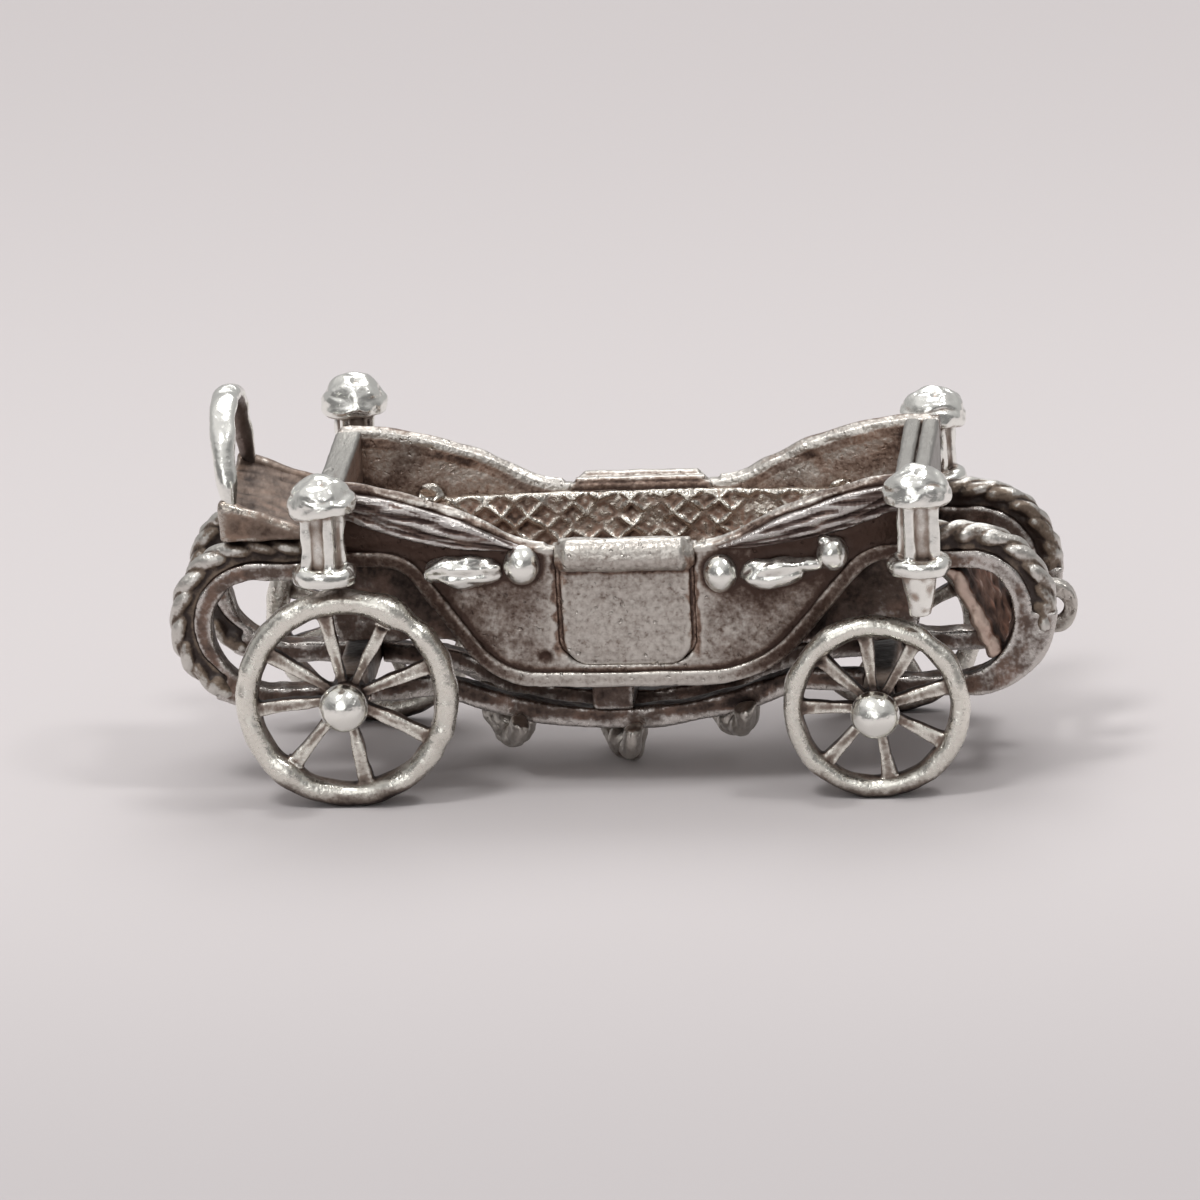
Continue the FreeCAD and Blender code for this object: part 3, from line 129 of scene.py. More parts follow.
class Graph:
    """A short way to add and link the nodes of a material."""

    def __init__(self, tree: bpy.types.NodeTree) -> None:
        """Start on an emptied tree.

        Args:
            tree: The tree to fill.
        """
        self.tree = tree
        tree.nodes.clear()

    def add(self, kind: str, **inputs: object) -> bpy.types.Node:
        """Add a node and feed its inputs.

        Args:
            kind: The node's type.
            inputs: Values or sockets by the input's name, with _ for a space.

        Returns:
            The new node.
        """
        node = self.tree.nodes.new(kind)
        for name, value in inputs.items():
            self.feed(node.inputs[name.replace("_", " ")], value)
        return node

    def feed(self, socket: Socket, value: object) -> None:
        """Set a socket, or link it where the value is a socket.

        Args:
            socket: The input to feed.
            value: A number, a colour or a socket.
        """
        if isinstance(value, Socket):
            self.tree.links.new(value, socket)
        elif isinstance(value, tuple) and len(value) == 3 and socket.type == "RGBA":
            socket.default_value = (*value, 1.0)
        else:
            socket.default_value = value

    def math(self, operation: str, first: object, second: object, clamp: bool = False) -> Socket:
        """Add a Math node.

        Args:
            operation: The node's operation.
            first: A number or socket.
            second: Another.
            clamp: Whether to keep the result between 0 and 1.

        Returns:
            The result's socket.
        """
        node = self.tree.nodes.new("ShaderNodeMath")
        node.operation = operation
        node.use_clamp = clamp
        self.feed(node.inputs[0], first)
        self.feed(node.inputs[1], second)
        return node.outputs[0]

    def total(self, *values: object) -> Socket:
        """Add up numbers or sockets.

        Args:
            values: The numbers or sockets.

        Returns:
            The sum's socket.
        """
        result, *others = values
        for value in others:
            result = self.math("ADD", result, value)
        return result

    def layer(self, name: str) -> Socket:
        """Read a number that the piece's points hold.

        Args:
            name: The attribute's name.

        Returns:
            The number's socket.
        """
        node = self.add("ShaderNodeAttribute")
        node.attribute_name = name
        return node.outputs["Fac"]

    def ramp(self, value: object, low: float, high: float,
             to_low: float = 0.0, to_high: float = 1.0) -> Socket:
        """Map a range smoothly to another.

        Args:
            value: The socket to map.
            low: The value that gives to_low.
            high: The value that gives to_high.
            to_low: The first end of the result.
            to_high: The other end of the result.

        Returns:
            The result's socket.
        """
        node = self.tree.nodes.new("ShaderNodeMapRange")
        node.interpolation_type = "SMOOTHSTEP"
        for socket, number in zip(node.inputs, (value, low, high, to_low, to_high)):
            self.feed(socket, number)
        return node.outputs["Result"]

    def mix(self, share: object, first: object, second: object) -> Socket:
        """Mix two colours.

        Args:
            share: The second colour's share.
            first: A colour or socket.
            second: A colour or socket.

        Returns:
            The mixed colour's socket.
        """
        node = self.tree.nodes.new("ShaderNodeMix")
        node.data_type = "RGBA"
        colours = [socket for socket in node.inputs if socket.type == "RGBA"]
        for socket, value in zip((node.inputs[0], *colours), (share, first, second)):
            self.feed(socket, value)
        return next(socket for socket in node.outputs if socket.type == "RGBA")

    def noise(self, place: Socket, size: float, detail: float = 4.0, rough: float = 0.55) -> Socket:
        """Add a noise whose lumps are about size millimetres.

        Args:
            place: The coordinates' socket.
            size: The lumps' size.
            detail: The finer layers' count.
            rough: The finer layers' strength.

        Returns:
            The noise's socket, about 0.5.
        """
        node = self.add("ShaderNodeTexNoise", Vector=place, Scale=1 / (size * MM), Detail=detail,
                        Roughness=rough)
        return node.outputs[0]


@dataclass(frozen=True)
class Silver:
    """A finish of cast silver, from its bright metal to the tarnish in its hollows.

    Sizes are in millimetres, and shares and strengths mostly between 0 and 1.
    """

    name: str
    bright: Triple = (0.88, 0.87, 0.84)
    tarnish: Triple = (0.20, 0.155, 0.135)
    deep: Triple = (0.030, 0.019, 0.015)
    gloss: float = 0.22
    dull: float = 0.42
    cover: float = 0.2
    edge: float = 1.6
    hollow: float = 0.9
    reach: float = 1.5
    blotch: float = 0.5
    blotch_size: float = 1.6
    grain: float = 0.25
    grain_size: float = 0.12
    pits: float = 0.3
    pit_size: float = 0.3
    stain: Triple = (0.30, 0.18, 0.13)
    stained: float = 0.15
    stretch: Triple = (1.0, 1.0, 1.0)
    lump: float = 1.5
    lump_size: float = 0.5
    relief: float = 0.04
    blend: float = 0.5
    flecks: float = 0.0
    black: Pair = (0.7, 1.45)
    stain_dulls: float = 0.5
    tarnish_dulls: float = 0.25

    def material(self) -> bpy.types.Material:
        """Make the finish's material once.

        Returns:
            The material.
        """
        name = f"cast_{self.name}"
        known = bpy.data.materials.get(name)
        if known:
            return known
        made = bpy.data.materials.new(name)
        made.use_nodes = True
        graph = Graph(made.node_tree)
        place = graph.add("ShaderNodeTexCoord").outputs["Object"]
        stretched = graph.add("ShaderNodeMapping", Vector=place, Scale=self.stretch).outputs[0]
        mask = self.mask(graph, stretched)
        veil = graph.ramp(mask, 0.5 - self.blend / 2, 0.5 + self.blend / 2)
        depth = graph.ramp(mask, *self.black)
        patch = graph.noise(place, self.blotch_size * 1.3, 3.0)
        stain = graph.ramp(patch, 0.45, 0.7, 0.0, self.stained)
        stained = graph.math("ADD", stain, graph.layer("brown"), clamp=True)
        tint = graph.mix(stained, self.tarnish, self.stain)
        colour = graph.mix(depth, graph.mix(veil, self.bright, tint), self.deep)
        fine = graph.ramp(graph.noise(place, self.grain_size * 2, 3.0), 0.3, 0.7, -0.05, 0.07)
        rough = graph.math("ADD", graph.ramp(veil, 0.0, 1.0, self.gloss, self.dull), fine, clamp=True)
        dulled = graph.math("ADD", graph.math("MULTIPLY", stained, self.stain_dulls), self.tarnish_dulls)
        metallic = graph.math("SUBTRACT", 1.0, graph.math("MULTIPLY", veil, dulled))
        shader = graph.add("ShaderNodeBsdfPrincipled", Base_Color=colour, Roughness=rough,
                           Metallic=metallic, Normal=self.bump(graph, stretched))
        graph.add("ShaderNodeOutputMaterial", Surface=shader.outputs[0])
        return made

    def mask(self, graph: Graph, place: Socket) -> Socket:
        """Work out how tarnished each spot is, with the painted light and shade that some pieces hold.

        Args:
            graph: The material's graph.
            place: The coordinates' socket.

        Returns:
            A socket from 0, bright, to 1 and more, black.
        """
        shade = graph.add("ShaderNodeAmbientOcclusion", Distance=self.reach * MM)
        shade.samples = 8
        closed = graph.math("MULTIPLY", graph.math("SUBTRACT", 1.0, shade.outputs["AO"]), self.hollow)
        patch = graph.ramp(graph.noise(place, self.blotch_size * 0.5), 0.35, 0.65, 0.45, 1.25)
        unworn = graph.math("SUBTRACT", 0.5, graph.layer("wear"))
        sunk = graph.math("MULTIPLY", unworn, graph.math("MULTIPLY", patch, self.edge))
        blotch = self.swing(graph, graph.noise(place, self.blotch_size, 2.5, 0.5), self.blotch * 2)
        speck = self.swing(graph, graph.noise(place, self.grain_size, 2.0), self.grain)
        if self.flecks:
            dots = graph.noise(place, self.pit_size * 0.7, 2.0, 0.7)
            speck = graph.math("ADD", speck, graph.ramp(dots, 0.56, 0.74, 0.0, self.flecks))
        # the grime layer holds tarnish and, on some pieces, painted shade and painted highlights
        return graph.total(closed, sunk, blotch, speck, graph.layer("grime"), self.cover)

    def swing(self, graph: Graph, noise: Socket, strength: float) -> Socket:
        """Centre a noise on 0 and scale it.

        Args:
            graph: The material's graph.
            noise: The noise's socket, about 0.5.
            strength: The factor.

        Returns:
            The centred noise's socket.
        """
        return graph.math("MULTIPLY", graph.math("SUBTRACT", noise, 0.5), strength)

    def bump(self, graph: Graph, place: Socket) -> Socket:
        """Make the fine relief of the casting's skin.

        Args:
            graph: The material's graph.
            place: The coordinates' socket.

        Returns:
            The normal's socket.
        """
        grain = graph.math("MULTIPLY", graph.noise(place, self.grain_size, 3.0), self.grain)
        lump = graph.math("MULTIPLY", graph.noise(place, self.lump_size, 2.0), self.lump)
        pit = graph.ramp(graph.noise(place, self.pit_size, 1.0), 0.66, 0.78, 0.0, -self.pits)
        node = graph.add("ShaderNodeBump", Strength=1.0, Distance=self.relief * MM,
                         Height=graph.total(grain, lump, pit))
        return node.outputs[0]


class Finish(Enum):
    """The finishes on the carriage."""

    POLISHED = Silver(
        "polished_silver", bright=(0.92, 0.92, 0.87), stain=(0.42, 0.33, 0.27), gloss=0.20, cover=0.10,
        hollow=1.2, edge=0.9, blotch=0.4, blotch_size=1.0, grain=0.3, grain_size=0.15, lump=2.2,
        lump_size=0.9)
    RIM = Silver(
        "rim_silver", bright=(0.82, 0.80, 0.73), tarnish=(0.24, 0.20, 0.17), gloss=0.26, cover=0.22,
        hollow=1.6, edge=1.3, blotch=0.6, blotch_size=0.9, grain=0.7, grain_size=0.15, pits=0.5, lump=1.8,
        lump_size=0.8)
    SATIN = Silver(
        "satin_silver", bright=(0.60, 0.57, 0.525), tarnish=(0.20, 0.155, 0.13), deep=(0.060, 0.034, 0.025),
        stain=(0.33, 0.21, 0.15), stained=0.1, gloss=0.33, dull=0.46, cover=0.28, hollow=1.2, edge=1.3,
        blotch=0.3, blotch_size=0.35, grain=1.0, grain_size=0.15, pits=1.2, pit_size=0.25, lump=1.4,
        lump_size=0.6, relief=0.03, blend=1.0, flecks=0.26)
    PALE = Silver(
        "pale_silver", bright=(0.315, 0.305, 0.285), tarnish=(0.15, 0.12, 0.105), gloss=0.46, cover=0.15,
        edge=1.4, blotch=0.6, blotch_size=0.5, grain=0.9, grain_size=0.18, pits=0.8, lump=0.5,
        lump_size=1.0, stretch=(1.0, 0.22, 1.0))
    OXIDE = Silver(
        "oxidised_silver", bright=(0.58, 0.55, 0.52), tarnish=(0.13, 0.094, 0.078),
        deep=(0.018, 0.011, 0.009), stained=0.5, gloss=0.26, cover=0.76, hollow=1.2, edge=1.5, blotch=0.65,
        blotch_size=0.7, grain=0.7, grain_size=0.15, pits=0.4, lump=1.4, lump_size=0.7)
    HOOD = Silver(
        "hood_silver", bright=(0.52, 0.49, 0.47), tarnish=(0.150, 0.110, 0.098), deep=(0.035, 0.020, 0.017),
        stained=0.45, gloss=0.3, cover=0.70, blotch=1.1, blotch_size=0.7, grain=1.0, grain_size=0.14,
        stretch=(0.28, 1.0, 2.0))
    INSIDE = Silver(
        "inside_silver", bright=(0.62, 0.58, 0.52), tarnish=(0.24, 0.175, 0.14), deep=(0.060, 0.036, 0.026),
        stain=(0.33, 0.215, 0.16), stained=0.7, dull=0.5, cover=0.44, hollow=0.5, edge=1.15, blotch=0.6,
        blotch_size=0.8, grain=0.9, grain_size=0.14)
    COPPER = Silver(
        "coppery_silver", bright=(0.60, 0.47, 0.40), tarnish=(0.20, 0.115, 0.085),
        deep=(0.040, 0.020, 0.014), stain=(0.30, 0.14, 0.09), stained=0.9, gloss=0.45, dull=0.65,
        cover=0.74, edge=1.2, blotch=0.7, blotch_size=0.6, grain=0.8, grain_size=0.2, lump=1.2,
        lump_size=0.45, stretch=(1.0, 0.28, 1.0))
    SEAT = Silver(
        "seat_silver", bright=(0.50, 0.46, 0.41), tarnish=(0.24, 0.18, 0.145), deep=(0.050, 0.030, 0.021),
        stain=(0.32, 0.21, 0.15), stained=0.6, dull=0.5, cover=0.96, hollow=0.8, edge=1.2, blotch=0.6,
        blotch_size=0.7, grain=0.7, grain_size=0.18, lump=1.2, lump_size=0.45, stretch=(1.0, 0.32, 1.0))
    ROPE = Silver(
        "rope_silver", bright=(0.62, 0.60, 0.56), tarnish=(0.16, 0.125, 0.10), stain=(0.21, 0.155, 0.11),
        stained=0.4, gloss=0.36, cover=0.46, hollow=1.3, edge=1.5, blotch=0.7, blotch_size=0.7, grain=0.6)


class Rough:
    """A rough shape in millimetres, made of closed solids that may overlap."""

    def __init__(self, *nodes: str) -> None:
        """Start from merged copies of CAD nodes.

        Args:
            nodes: The nodes' names.
        """
        self.bm = bmesh.new()
        for node in nodes:
            self.add_node(node)

    def add_node(self, node: str, change: Matrix = Matrix()) -> None:
        """Add a merged copy of a CAD node.

        Args:
            node: The node's name.
            change: A change of the copy, in millimetres.
        """
        part = bmesh.new()
        part.from_mesh(frame["nodes"][node].data)
        bmesh.ops.scale(part, vec=(1 / MM,) * 3, verts=part.verts)
        bmesh.ops.remove_doubles(part, verts=part.verts, dist=MERGE)
        bmesh.ops.transform(part, matrix=change, verts=part.verts)
        self.join(part)

    def join(self, part: bmesh.types.BMesh) -> None:
        """Add another bmesh's shape and free it.

        Args:
            part: The bmesh.
        """
        mesh = bpy.data.meshes.new("joined")
        part.to_mesh(mesh)
        part.free()
        self.bm.from_mesh(mesh)
        bpy.data.meshes.remove(mesh)

    def ball(self, centre: Iterable[float], radii: Iterable[float], tilt: float = 0.0) -> None:
        """Add an ellipsoid.

        Args:
            centre: Its centre.
            radii: Its radii along X, Y and Z.
            tilt: Its turn about Y, in degrees.
        """
        matrix = (Matrix.Translation(Vector(centre)) @ Matrix.Rotation(math.radians(tilt), 4, "Y")
                  @ Matrix.Diagonal((*radii, 1.0)))
        bmesh.ops.create_icosphere(self.bm, subdivisions=3, radius=1.0, matrix=matrix)

    def turned(self, profile: Profile, place: Matrix, steps: int) -> None:
        """Spin a closed profile of (radius, height) about its own Z.

        Args:
            profile: The profile's points.
            place: Where the turned shape stands.
            steps: The spin's steps.
        """
        part = bmesh.new()
        verts = [part.verts.new((radius, 0.0, height)) for radius, height in profile]
        edges = [part.edges.new((verts[i - 1], verts[i])) for i in range(len(verts))]
        bmesh.ops.spin(part, geom=verts + edges, cent=(0, 0, 0), axis=(0, 0, 1), angle=math.tau,
                       steps=steps, use_merge=True)
        bmesh.ops.remove_doubles(part, verts=part.verts, dist=MERGE)
        bmesh.ops.recalc_face_normals(part, faces=part.faces)
        bmesh.ops.transform(part, matrix=place, verts=part.verts)
        self.join(part)

    def spoke(self, place: Matrix, root: Pair, foot: Pair, depth: float) -> None:
        """Add a flat tapered spoke along X.

        Args:
            place: The wheel's place, turned to the spoke's angle.
            root: The radius and width at the hub.
            foot: The radius and width at the rim.
            depth: The spoke along the axle.
        """
        part = bmesh.new()
        bmesh.ops.create_cube(part, size=1.0)
        for vert in part.verts:
            radius, width = root if vert.co.x < 0 else foot
            vert.co = Vector((radius, vert.co.y * width, vert.co.z * depth))
        bmesh.ops.transform(part, matrix=place, verts=part.verts)
        self.join(part)

    def tube(self, path: Array, radius: float) -> None:
        """Extrude a round section along a path, with closed ends.

        Args:
            path: The path's points.
            radius: The tube's radius.
        """
        part = bmesh.new()
        spots = [Vector(spot) for spot in path]
        along = [Vector(step) for step in np.gradient(path, axis=0)]
        ring = bmesh.ops.create_circle(part, cap_ends=True, segments=TUBE_SIDES, radius=radius)["verts"]
        face = ring[0].link_faces[0]
        turn = along[0].to_track_quat("Z", "Y").to_matrix().to_4x4()
        bmesh.ops.transform(part, matrix=Matrix.Translation(spots[0]) @ turn, verts=ring)
        for i in range(1, len(spots)):
            made = bmesh.ops.extrude_face_region(part, geom=[face])["geom"]
            verts = [item for item in made if isinstance(item, bmesh.types.BMVert)]
            if i > 1:
                bmesh.ops.delete(part, geom=[face], context="FACES_ONLY")
            face = next(item for item in made if isinstance(item, bmesh.types.BMFace))
            bend = along[i - 1].rotation_difference(along[i]).to_matrix().to_4x4()
            move = Matrix.Translation(spots[i]) @ bend @ Matrix.Translation(-spots[i - 1])
            bmesh.ops.transform(part, matrix=move, verts=verts)
        bmesh.ops.recalc_face_normals(part, faces=part.faces)
        self.join(part)

    def to_mesh(self) -> bpy.types.Mesh:
        """Turn the shape into a mesh and free the bmesh.

        Returns:
            The mesh, in millimetres.
        """
        mesh = bpy.data.meshes.new("rough")
        self.bm.to_mesh(mesh)
        self.bm.free()
        return mesh


def ripple(points: Array, size: float, seed: int) -> Array:
    """Smooth noise, the same on each run.

    Args:
        points: The points, in millimetres.
        size: The lumps' size.
        seed: The noise's seed.

    Returns:
        A number for each point, mostly between -1 and 1.
    """
    chance = np.random.default_rng(seed)
    heading = chance.normal(size=(WAVES, 3))
    heading /= np.linalg.norm(heading, axis=1, keepdims=True)
    lengths = size * chance.uniform(0.7, 1.7, WAVES)
    phases = chance.uniform(0, math.tau, WAVES)
    angles = points @ (heading * (math.tau / lengths[:, None])).T + phases
    return np.sin(angles).sum(axis=1) / math.sqrt(WAVES)


class Skin:
    """A mesh's points, normals and neighbours as arrays."""

    wear_gain = 0.08
    wear_rounds = 5

    def __init__(self, mesh: bpy.types.Mesh) -> None:
        """Read a mesh.

        Args:
            mesh: The mesh, in millimetres.
        """
        self.mesh = mesh
        self.count = len(mesh.vertices)
        self.points = np.empty(self.count * 3)
        mesh.vertices.foreach_get("co", self.points)
        self.points = self.points.reshape(-1, 3)
        self.edges = np.empty(len(mesh.edges) * 2, dtype=np.int64)
        mesh.edges.foreach_get("vertices", self.edges)
        self.edges = self.edges.reshape(-1, 2)
        self.degree = np.bincount(self.edges.ravel(), minlength=self.count).clip(1)

    def normals(self) -> Array:
        """Read the points' normals.

        Returns:
            A unit vector for each point.
        """
        normals = np.empty(self.count * 3)
        self.mesh.vertex_normals.foreach_get("vector", normals)
        return normals.reshape(-1, 3)

    def around(self, values: Array) -> Array:
        """Average a value over each point's neighbours.

        Args:
            values: A number for each point.

        Returns:
            The neighbours' average for each point.
        """
        first, second = self.edges.T
        total = np.bincount(first, values[second], self.count)
        total += np.bincount(second, values[first], self.count)
        return total / self.degree

    def push(self, distances: Array) -> None:
        """Move the points along their normals.

        Args:
            distances: How far each point moves.
        """
        self.points += self.normals() * distances[:, None]
        self.mesh.vertices.foreach_set("co", self.points.ravel())
        self.mesh.update()

    def wear(self, voxel: float) -> Array:
        """Tell worn edges from hollows.

        Args:
            voxel: The mesh's edge length.

        Returns:
            A number for each point: 0 in a hollow, 0.5 on a flat, 1 on an edge.
        """
        normals = self.normals()
        lift = sum((self.around(self.points[:, k]) - self.points[:, k]) * normals[:, k] for k in range(3))
        curve = -lift * 4 / voxel ** 2
        for _ in range(self.wear_rounds):
            curve = (curve + self.around(curve)) / 2
        return np.clip(0.5 + self.wear_gain * curve, 0, 1)


@dataclass(frozen=True)
class Softness:
    """How a rough shape becomes a casting, in millimetres."""

    voxel: float = 0.06
    rounds: int = 6
    swell: float = 0.012
    ripple: float = 0.012
    ripple_size: float = 1.3


@dataclass
class Casting:
    """One visible piece, cast over the nodes that it stands for.

    The shape pushes its points out, and the grime and the brown colour them; on some pieces the grime
    also holds painted shade and painted highlights. Its skin is dirty close to the nodes beside it. A
    level piece is remeshed with its widest face level, so that the voxels leave no steps on it.
    """

    nodes: tuple[str, ...]
    finish: Finish
    softness: Softness = Softness()
    rough: Rough | None = None
    shape: Shaper | None = None
    grime: Shaper | None = None
    brown: Shaper | None = None
    beside: tuple[str, ...] = ()
    level: bool = False

    def soften(self) -> bpy.types.Mesh:
        """Remesh and smooth the rough shape.

        Returns:
            The soft mesh, in millimetres.
        """
        rough = self.rough or Rough(*self.nodes)
        mesh = rough.to_mesh()
        turn = Matrix()
        if self.level:
            widest = max(mesh.polygons, key=lambda face: face.area)
            turn = widest.normal.rotation_difference(Vector((0.0, 0.0, 1.0))).to_matrix().to_4x4()
        mesh.transform(turn)
        temp = link("rough", mesh)
        remesh = temp.modifiers.new("voxels", "REMESH")
        remesh.mode = "VOXEL"
        remesh.voxel_size = self.softness.voxel
        smooth = temp.modifiers.new("soften", "SMOOTH")
        smooth.factor = 0.5
        smooth.iterations = self.softness.rounds
        graph = bpy.context.evaluated_depsgraph_get()
        soft = bpy.data.meshes.new_from_object(temp.evaluated_get(graph))
        bpy.data.objects.remove(temp)
        bpy.data.meshes.remove(mesh)
        soft.transform(turn.inverted())
        return soft

    def paint(self, mesh: bpy.types.Mesh, layer: str, values: Array) -> None:
        """Store a number for each point."""
        mesh.attributes.new(layer, "FLOAT", "POINT").data.foreach_set("value", values.astype(np.float32))

    def make(self) -> bpy.types.Object:
        """Cast the piece and put it on its body.

        Returns:
            The finished object.
        """
        name = f"cast_{self.nodes[0]}"
        mesh = self.soften()
        skin = Skin(mesh)
        seed = zlib.crc32(name.encode())
        soft = self.softness
        relief = soft.swell + soft.ripple * ripple(skin.points, soft.ripple_size, seed)
        if self.shape:
            relief = relief + self.shape(skin.points, skin.normals())
        skin.push(relief)
        self.paint(mesh, "wear", skin.wear(soft.voxel))
        normals = skin.normals()
        soil = closeness(skin.points, self.beside, SOIL_REACH) if self.beside else np.zeros(skin.count)
        for layer, shaper, share in (("grime", self.grime, 0.8), ("brown", self.brown, 0.4)):
            own = shaper(skin.points, normals) if shaper else 0.0
            self.paint(mesh, layer, own + share * rise(soil, 0.1, 0.9))
        mesh.transform(Matrix.Scale(MM, 4))
        mesh.name = name
        mesh.shade_smooth()
        mesh.materials.clear()
        mesh.materials.append(self.finish.value.material())
        piece = link(name, mesh)
        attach(piece, body_of(self.nodes[0]))
        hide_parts(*self.nodes)
        log.info("%s: %d points", name, skin.count)
        return piece


def link(name: str, data: bpy.types.ID) -> bpy.types.Object:
    """Add an object to the scene.

    Args:
        name: The object's name.
        data: Its mesh, lamp or camera.

    Returns:
        The new object.
    """
    made = bpy.data.objects.new(name, data)
    bpy.context.scene.collection.objects.link(made)
    return made


def rise(values: Array, low: float, high: float) -> Array:
    """A smooth step from 0 at low to 1 at high."""
    share = np.clip((values - low) / (high - low), 0, 1)
    return share * share * (3 - 2 * share)


def facing(normals: Array, sense: int) -> Array:
    """How much each normal points one way across the carriage, from 0 to 1."""
    return np.clip(normals[:, 1] * sense, 0, 1)


def about(middle: Vector, change: Matrix, shift: Triple) -> Matrix:
    """A change about a point, followed by a shift."""
    return Matrix.Translation(middle + Vector(shift)) @ change @ Matrix.Translation(-middle)


def span(points: Array, width: float) -> tuple[Array, Array]:
    """Find how low and how high a piece reaches at each point's place along the carriage.

    Args:
        points: The piece's points.
        width: The width of the slices that are compared.

    Returns:
        The lowest and the highest Z in each point's slice.
    """
    piece = ((points[:, 0] - points[:, 0].min()) / width).astype(int)
    low = np.full(piece.max() + 1, np.inf)
    high = -low
    np.minimum.at(low, piece, points[:, 2])
    np.maximum.at(high, piece, points[:, 2])
    return low[piece], high[piece]


def surface(*nodes: str) -> BVHTree:
    """Make a tree of CAD nodes' faces, for rays and distances.

    Args:
        nodes: The nodes' names.

    Returns:
        The tree, in metres.
    """
    copy = bmesh.new()
    for node in nodes:
        copy.from_mesh(frame["nodes"][node].data)
    tree = BVHTree.FromBMesh(copy)
    copy.free()
    return tree


def closeness(points: Array, nodes: Iterable[str], reach: float) -> Array:
    """How close each point lies to other nodes.

    Args:
        points: The points, in millimetres.
        nodes: The other nodes' names.
        reach: The distance that counts as far, in millimetres.

    Returns:
        1 at contact, down to 0 at reach.
    """
    tree = surface(*nodes)
    gaps = [tree.find_nearest(Vector(point) * MM, reach * MM)[3] for point in points]
    return np.array([0.0 if gap is None else 1 - gap / MM / reach for gap in gaps])


def body_of(node: str) -> str:
    """The body that a node rides on."""
    bodies = frame["record"]["behaviour"]["bodies"]
    return next(body for body, members in bodies.items() if node in members)


def face_at(node: str, x: float, z: float, side: Side) -> float:
    """Find a node's outer face seen from one side.

    Args:
        node: The node's name.
        x: The spot along the carriage.
        z: Its height.
        side: The side it is seen from.

    Returns:
        The face's Y in millimetres.
    """
    start = Vector((x, side.value * FAR_OFF, z)) * MM
    spot = surface(node).ray_cast(start, Vector((0.0, -side.value, 0.0)))[0]
    return spot.y / MM


